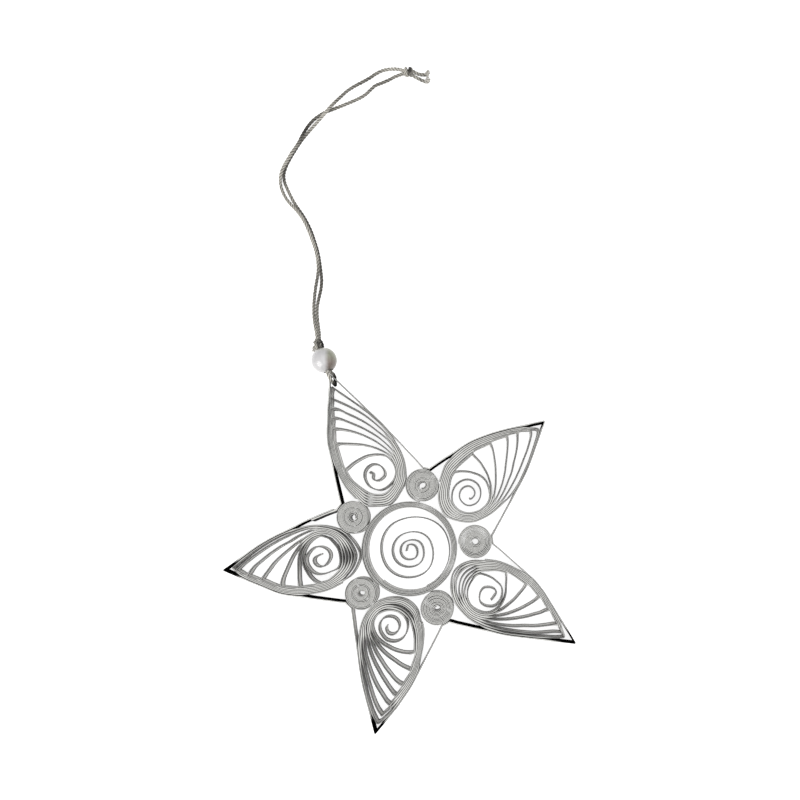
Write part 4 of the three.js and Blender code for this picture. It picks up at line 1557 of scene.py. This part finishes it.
@dataclass
class Hanger:
    """The cord, its knots and the bead, in axes at tip 1: x to the right, y outwards.

    A row of a route is x, y, z and how light the thread is there, which paints its light and shade: near black
    where it passes in shade under the other strand and inside the star's tip. A row of the frays is where they
    start, where they end, how many there are, how far their ends scatter and how far they curl. A row of the end
    knot's tones is a share of its length and how light the thread is there.
    """

    tip: Line
    bead_diameter: float = 8.2
    bead_bore: float = 3.1
    bead_lip: float = 0.22
    bead_rings: int = 44
    bead_sides: int = 96
    bead_centre: Point = (0, 5.4, 4.0)
    # Ways that the bead's side of painted shade and its top of painted shade face.
    shade_side_way: Point = (0.92, -0.38, -0.05)
    rise_way: Point = (0.38, 0.92, 0)
    cord_diameter: float = 1.12
    route_spacing: float = 0.26
    vee: Point = (-0.12, -2.95, 4.8, 0)
    left_side: Sequence[float] = (
        -0.14, -2.85, 7.2, 0.1, -0.24, -2.3, 8.4, 0.6, -0.3, -1.3, 8.8, 0.95, -0.32, -0.1, 8.7, 0.95, -0.38,
        0.7, 8.1, 0.85, -0.32, 0.95, 7.0, 0.75, -0.3, 1.1, 5.8, 0.6, -0.38, 1.35, 4.9, 0.5, -0.5, 1.9, 4.5,
        0.4, -0.65, 3.2, 4.1, 0.4, -0.65, 5.4, 4.0, 0.4, -0.65, 8.5, 4.0, 0.4, -0.25, 10.7, 3.6, 0.4,
    )
    right_side: Sequence[float] = (
        -0.14, -2.95, 2.2, 0, -0.12, -2.55, 0.95, 0, 0.14, -1.9, 0.6, 0, 0.42, -1.1, 0.6, 0, 0.64, -0.3,
        0.6, 0, 0.7, 0.35, 0.9, 0.05, 0.6, 0.83, 1.75, 0.15, 0.42, 1.05, 2.65, 0.3, 0.36, 1.35, 3.3, 0.4,
        0.45, 1.9, 3.5, 0.4, 0.65, 3.2, 3.9, 0.4, 0.65, 5.4, 4.0, 0.4, 0.65, 8.5, 4.0, 0.4, 0.95, 10.7, 3.6,
        0.4,
    )
    strand_left: Sequence[float] = (
        0.48, 12.33, 2.8, 0.8, 1.12, 14.8, 1.7, 0.75, 1.72, 17.56, 1, 0.6, 2.46, 20.21, 0.6, 0.4, 3.55,
        22.96, 0.6, 0.4, 5.03, 25.89, 0.6, 0.35, 7.05, 29.3, 0.6, 0.3, 8.65, 31.59, 0.8, 0.3, 10.1, 33.86,
        1.25, 0.45, 11.27, 36.89, 1.4, 0.7, 12.01, 40.18, 1.35, 0.8, 12.35, 43.67, 1.3, 0.8, 12.57, 47.21,
        1.25, 0.8, 12.46, 50.91, 1.2, 0.75, 11.85, 54.4, 1.1, 0.7, 10.82, 57.46, 0.8, 0.7, 10.2, 60.01, 0.6,
        0.6, 10.07, 62.63, 0.6, 0.55, 10.49, 65.11, 0.75, 0.65, 11.58, 67.38, 1.1, 0.8, 13.39, 69.35, 1.4,
        0.75, 15.77, 71.18, 1.4, 0.75, 18.42, 73.05, 1.4, 0.65, 21.02, 74.67, 1.35, 0.4, 23.36, 76.61, 1.2,
        0.12, 25.88, 78.55, 0.9, 0.08, 28.54, 80.04, 0.65, 0.2, 31.31, 80.79, 0.6, 0.35, 33.8, 81.01, 0.55,
        0.25, 36.6, 80.81, 0.6, 0.3, 39.78, 80.69, 0.6, 0.5, 42.98, 80.6, 0.6, 0.5, 45.88, 80.64, 0.6, 0.5,
        48.2, 80.99, 0.6, 0.45, 50.34, 81.75, 0.6, 0.4, 52.03, 82.31, 0.6, 0.35, 54.53, 82.24, 0.6, 0.3,
        57.04, 82.21, 0.6, 0.35, 59.27, 82.35, 0.65, 0.5, 61.33, 82.05, 0.95, 0.55, 62.62, 81.62, 1.5, 0.6,
    )
    strand_right: Sequence[float] = (
        1.31, 12.31, 2.8, 0.4, 2.04, 14.76, 1.6, 0.4, 2.73, 17.49, 0.9, 0.4, 3.65, 20.39, 0.6, 0.45, 4.85,
        23.08, 0.6, 0.35, 6.56, 25.55, 0.6, 0.2, 8.35, 27.99, 0.6, 0.15, 9.77, 30.6, 0.6, 0.12, 10.74,
        33.41, 0.6, 0.15, 11.7, 36.6, 0.6, 0.15, 12.45, 39.88, 0.6, 0.12, 12.9, 43.32, 0.55, 0.15, 13.19,
        47.01, 0.55, 0.12, 13.11, 50.68, 0.55, 0.15, 12.63, 54.18, 0.55, 0.2, 12.12, 56.97, 0.55, 0.4,
        11.89, 59.79, 0.6, 0.5, 11.83, 62.56, 0.6, 0.45, 11.95, 65.27, 0.55, 0.2, 12.75, 67.67, 0.5, 0.1,
        14.39, 69.67, 0.5, 0.15, 16.79, 71.69, 0.5, 0.15, 19.62, 73.7, 0.5, 0.15, 22.35, 75.42, 0.6, 0.2,
        25.28, 76.8, 0.9, 0.4, 27.86, 77.86, 1.2, 0.75, 30.27, 78.84, 1.45, 0.85, 32.57, 79.89, 1.65, 0.8,
        34.9, 81, 1.7, 0.7, 37.19, 82.24, 1.15, 0.5, 39.97, 83.52, 0.6, 0.4, 42.93, 84.5, 0.6, 0.45, 46.04,
        85, 0.6, 0.35, 49.01, 85.2, 0.6, 0.3, 51.66, 85.47, 0.6, 0.3, 54, 85.88, 0.6, 0.45, 56.56, 85.94,
        0.6, 0.6, 58.83, 85.39, 0.6, 0.85, 60.91, 84.36, 0.8, 0.85, 62.09, 83.29, 1.2, 0.8, 62.9, 82.21,
        1.6, 0.7,
    )
    tail_upper: Sequence[float] = (
        64.9, 81.46, 1.7, 0.35, 65.64, 80.65, 1.5, 0.7, 66.53, 79.82, 1.1, 0.55, 67.73, 79.17, 0.75, 0.45,
        68.79, 78.82, 0.65, 0.6, 69.7, 78.9, 0.7, 0.9, 70, 79.24, 0.9, 1,
    )
    tail_lower: Sequence[float] = (
        64.41, 80.33, 1.5, 0.3, 65.2, 79.26, 1.2, 0.7, 66.17, 78.27, 0.8, 0.5, 67.14, 77.25, 0.65, 0.5,
        68.01, 76.45, 0.65, 0.8, 68.79, 76.43, 0.7, 1, 69.06, 76.84, 0.8, 1,
    )
    frays: Sequence[float] = (
        68.7, 78.84, 0.7, 69.97, 79.45, 1.2, 24, 0.22, 0.25, 69.26, 78.88, 0.7, 68.95, 77.56, 0.8, 14, 0.22,
        0.3, 67.85, 76.56, 0.7, 68.9, 76.47, 1, 18, 0.25, 0.3, 68.97, 77.77, 0.8, 68.7, 76.36, 0.9, 16, 0.2,
        0.3, 67.39, 77.14, 0.7, 67.82, 76.12, 0.6, 8, 0.25, 0.2, -0.66, 10.78, 3.6, -1.94, 9.88, 3.4, 20,
        0.3, 0.3, -0.44, 10.96, 3.6, -1.38, 10.62, 4.2, 10, 0.3, 0.25,
    )
    fray_root: float = 0.16
    fray_spacing: float = 0.16
    fray_floor: float = 0.08
    fray_tones: tuple[float, float] = (0.4, 1)
    fray_seed: int = 21
    fibre: TwistedCord = TwistedCord(0.16, plies=1, sides=5)
    bead_knot: Knot = Knot(
        "overhand_knot", "bead_knot", (0.35, 10.8, 3.6), 90.0, TwistedCord(0.85, 2.6), 2.3, 3.5, 150, 3.0
    )
    end_knot: Knot = Knot(
        "tail_knot", "end_knot", (63.8, 81.5, 1.65), -27.0, TwistedCord(0.95, 2.3), 4.1, 3.3, 170, 7.0
    )
    end_knot_turns: float = 3.6
    end_knot_sway: float = 0.28
    knot_tones: Sequence[float] = (0, 0.85, 0.45, 0.8, 0.52, 0.08, 0.64, 0.05, 0.7, 0.6, 0.85, 0.2, 1, 0.6)
    thread: bpy.types.Material | None = None

    def placed(self, line: Any) -> Line:
        """Points of the tip's axes in the frame's axes."""
        return np.atleast_2d(np.asarray(line, float))[:, :3] + self.tip

    def cord(self, name: str, route: Sequence[float], nodes: Sequence[str],
             with_pieces: Sequence[bpy.types.Object], seed: float) -> None:
        """Builds one half of the cord, from inside the star's tip to its free end.

        Args:
            name: Name of the piece.
            route: Its route after the vee that both halves start at.
            nodes: CAD nodes that it stands for.
            with_pieces: The pieces on it; not used.
            seed: Seed of its unevenness.
        """
        fine = through(points((*self.vee, *route), 4), self.route_spacing)
        path = self.placed(fine)
        maker = TwistedCord(self.cord_diameter)
        # The route's fourth column paints light and shade along the cord.
        mesh = maker.mesh(name, [path], {"tone": unit(fine[:, 3])}, seed, self.thread)
        piece = finished(name, mesh, "hanger", nodes)

    def tied(self, knot: Knot, line: Line, tone: Line) -> bpy.types.Object:
        """Ties a knot.

        Args:
            knot: The knot.
            line: Its path about its middle, with x along its axis.
            tone: How light the thread is at each point.

        Returns:
            The piece.
        """
        turned = np.column_stack([spun(line[:, :2], math.radians(knot.degrees)), line[:, 2]])
        path = self.placed(turned + np.asarray(knot.middle, float))
        mesh = knot.cord.mesh(knot.name, [path], {"tone": tone}, knot.seed, self.thread)
        return finished(knot.name, mesh, "hanger", [knot.node])

    def overhand(self) -> bpy.types.Object:
        """Builds the overhand knot over the bead, with painted light on its left, painted shade on its right and
        painted shade towards its middle.

        Returns:
            The piece.
        """
        knot = self.bead_knot
        t = np.linspace(0, 2 * math.pi, knot.steps)
        y = np.cos(t) - 2 * np.cos(2 * t)
        z = np.sin(t) + 2 * np.sin(2 * t)
        reach = float(np.hypot(y, z).max())
        loop = np.column_stack([np.sin(3 * t) * (knot.length / 2), y / reach, z / reach])
        # Painted shade towards the knot's middle, and painted light and shade from its left to its right.
        depth = unit(1.3 * np.hypot(y, z) / reach - 0.2)
        tone = unit(0.5 + y / reach * 0.8 + 0.3 * np.sin(5 * t)) * depth
        return self.tied(knot, loop * ((knot.width - knot.cord.diameter) / 2), tone)

    def wrapped_knot(self) -> bpy.types.Object:
        """Builds the end knot: turns of cord wrapped round both strands, dark in the middle.

        Returns:
            The piece.
        """
        knot = self.end_knot
        t = np.linspace(0, 1, knot.steps)
        swell = np.sin(math.pi * (0.12 + 0.76 * t)) ** 0.5 * np.clip(np.minimum(t, 1 - t) / 0.06, 0.25, 1)
        arm = (knot.width - knot.cord.diameter) / 2 * swell
        turn = 2 * math.pi * self.end_knot_turns * t
        along = (t - 0.5) * (knot.length - knot.cord.diameter) + self.end_knot_sway * np.sin(turn * 0.5 + 0.7)
        tone = np.interp(t, *np.transpose(points(self.knot_tones)))
        return self.tied(knot, np.column_stack([along, np.cos(turn) * arm, np.sin(turn) * arm]), tone)

    def frayed(self) -> bpy.types.Object:
        """Builds the frayed fibres of the two cut ends and of the knot over the bead.

        Returns:
            The piece.
        """
        random = np.random.default_rng(self.fray_seed)
        hairs: list[Line] = []
        tones: list[Line] = []
        for start, end, (count, spread, curl) in (np.split(row, 3) for row in points(self.frays, 9)):
            for _ in range(int(count)):
                root = start + random.normal(0, self.fray_root, 3)
                goal = end + random.normal(0, spread, 3)
                middle = (root + goal) / 2 + random.normal(0, curl, 3)
                hair = through([root, middle, goal], self.fray_spacing)
                hair[:, 2] = np.maximum(hair[:, 2], self.fray_floor)
                hairs.append(self.placed(hair))
                tones.append(np.full(len(hair), random.uniform(*self.fray_tones)))
        loose = TwistedThread("loose fibre", ThreadTone.FIBRE).material()
        mesh = self.fibre.mesh("frayed_fibres", hairs, {"tone": np.concatenate(tones)}, 5.0, loose)
        return finished("frayed_fibres", mesh, "hanger", [])

    def bead(self) -> None:
        """Builds the pearl bead, with softened rims at its bore."""
        radius, bore, lip = self.bead_diameter / 2, self.bead_bore / 2, self.bead_lip
        start = math.acos((bore + lip) / (radius - 0.02))
        angles = np.linspace(-start, start, self.bead_rings)
        outer = np.column_stack([np.cos(angles), np.sin(angles)]) * radius
        top = outer[-1, 1]
        rim = cubic(outer[-1], (bore + lip * 0.4, top + 0.05), (bore, top - lip * 0.2), (bore, top - lip), 6)
        other = rim[::-1] * (1, -1)
        bore_wall = np.array([[bore, y] for y in np.linspace(rim[-1, 1], other[0, 1], 8)[1:-1]])
        profile = np.vstack([outer, rim[1:], bore_wall, other[:-1]])
        count, sides = len(profile), self.bead_sides
        spin = np.linspace(0, 2 * math.pi, sides, endpoint=False)
        verts = np.array([[r * math.cos(a), y, r * math.sin(a)] for r, y in profile for a in spin])
        faces = [
            [(i + p) % count * sides + (j + q) % sides for p, q in ((0, 0), (0, 1), (1, 1), (1, 0))]
            for i in range(count) for j in range(sides)
        ]
        mesh = bpy.data.meshes.new("bead")
        mesh.from_pydata((self.placed(verts + np.asarray(self.bead_centre, float)) * MM).tolist(), [], faces)
        ways = verts / np.linalg.norm(verts, axis=1)[:, None]
        # Traits that place the bead's painted shade and painted reflection.
        for trait, way in (("dusk", self.shade_side_way), ("rise", self.rise_way)):
            keep_trait(mesh, trait, 0.5 + 0.5 * ways @ np.array(way))
        mesh.materials.append(Pearl().material())
        outward(mesh)
        finished("bead", mesh, "bead", ["pearl_bead"])

    def build(self) -> None:
        """Builds the bead, the knots and both halves of the cord."""
        self.thread = TwistedThread("twisted thread", ThreadTone.CORD).material()
        self.bead()
        knots = [self.overhand(), self.wrapped_knot(), self.frayed()]
        left, right = (*self.left_side, *self.strand_left), (*self.right_side, *self.strand_right)
        nodes = ["cord_bight", "cord_strand_left", "cord_tail_lower"]
        self.cord("cord_left", (*left, *self.tail_lower), nodes, knots, 1.0)
        nodes = ["cord_strand_right", "cord_tail_upper"]
        self.cord("cord_right", (*right, *self.tail_upper), nodes, knots, 2.0)


@dataclass
class Studio:
    """Camera, lights and floor."""

    camera_place: Point = (20.902, -6.033, 279.61)
    camera_turn: Point = (2.6868, -0.0403, -24.5113)
    lens: float = 39.06
    sensor_width: float = 36.0
    shift: tuple[float, float] = (-0.0875, 0.1)
    clip: tuple[float, float] = (0.01, 20.0)
    floor_half: float = 2000.0
    floor_level: float = -0.12
    dim: float = 0.5

    def camera(self) -> None:
        """Sets the camera to the photograph's view."""
        data = bpy.data.cameras.new("camera")
        data.lens, data.sensor_width = self.lens, self.sensor_width
        data.shift_x, data.shift_y = self.shift
        data.clip_start, data.clip_end = self.clip
        camera = linked("camera", data)
        camera.location = [v * MM for v in self.camera_place]
        camera.rotation_euler = [math.radians(v) for v in self.camera_turn]
        bpy.context.scene.camera = camera

    def lamp(self, name: str, place: Point, size: tuple[float, float], power: float, colour: Colour) -> None:
        """Adds a soft rectangular lamp that points at the star.

        Args:
            name: Its name.
            place: Where it stands, in millimetres.
            size: Its width and height, in millimetres.
            power: Its power in watts.
            colour: Its colour.
        """
        data = bpy.data.lights.new(name, "AREA")
        data.shape = "RECTANGLE"
        data.size, data.size_y = size[0] * MM, size[1] * MM
        data.energy = power
        data.color = colour
        lamp = linked(name, data)
        lamp.location = [v * MM for v in place]
        lamp.rotation_euler = Vector(place).to_track_quat("Z", "Y").to_euler()

    def floor(self) -> None:
        """Lays the floor."""
        half, level = self.floor_half * MM, self.floor_level * MM
        corners = [(-half, -half, level), (half, -half, level), (half, half, level), (-half, half, level)]
        mesh = bpy.data.meshes.new("floor")
        mesh.from_pydata(corners, [], [(0, 1, 2, 3)])
        mesh.materials.append(PaleFloor().material())
        linked("floor", mesh)

    def world(self) -> None:
        """Sets a dim world that is white to the camera."""
        world = bpy.data.worlds.new("studio")
        world.use_nodes = True
        world.node_tree.nodes.clear()
        sheet = NodeSheet(world.node_tree)
        strength = sheet.looked_at() * (1 - self.dim) + self.dim
        sky = sheet.add("ShaderNodeBackground", {"Color": WHITE, "Strength": strength})
        sheet.add("ShaderNodeOutputWorld", {0: sky})
        bpy.context.scene.world = world

    def build(self) -> None:
        """Builds the studio."""
        self.camera()
        self.lamp("window", (-420, -120, 300), (420, 420), 2.4, (1.0, 0.99, 0.97))
        self.lamp("sky", (300, -40, 480), (1000, 1000), 3.0, WHITE)
        self.floor()
        self.world()
        bpy.context.scene.view_settings.view_transform = "Standard"


def main() -> None:
    """Builds the studio, the hanger and the star."""
    logging.basicConfig(level=logging.INFO, format="%(name)s: %(message)s")
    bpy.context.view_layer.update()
    Studio().build()
    low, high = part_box("pearl_bead")
    hanger = Hanger(tip=np.zeros(3))
    hanger.tip = np.array((low + high) / 2 / MM) - np.asarray(hanger.bead_centre, float)
    hanger.build()
    star = Star(centre=np.zeros(2))
    star.centre = hanger.tip[:2] - star.frame_tip(PETALS[0])
    star.build()


if __name__ == "__main__":
    main()
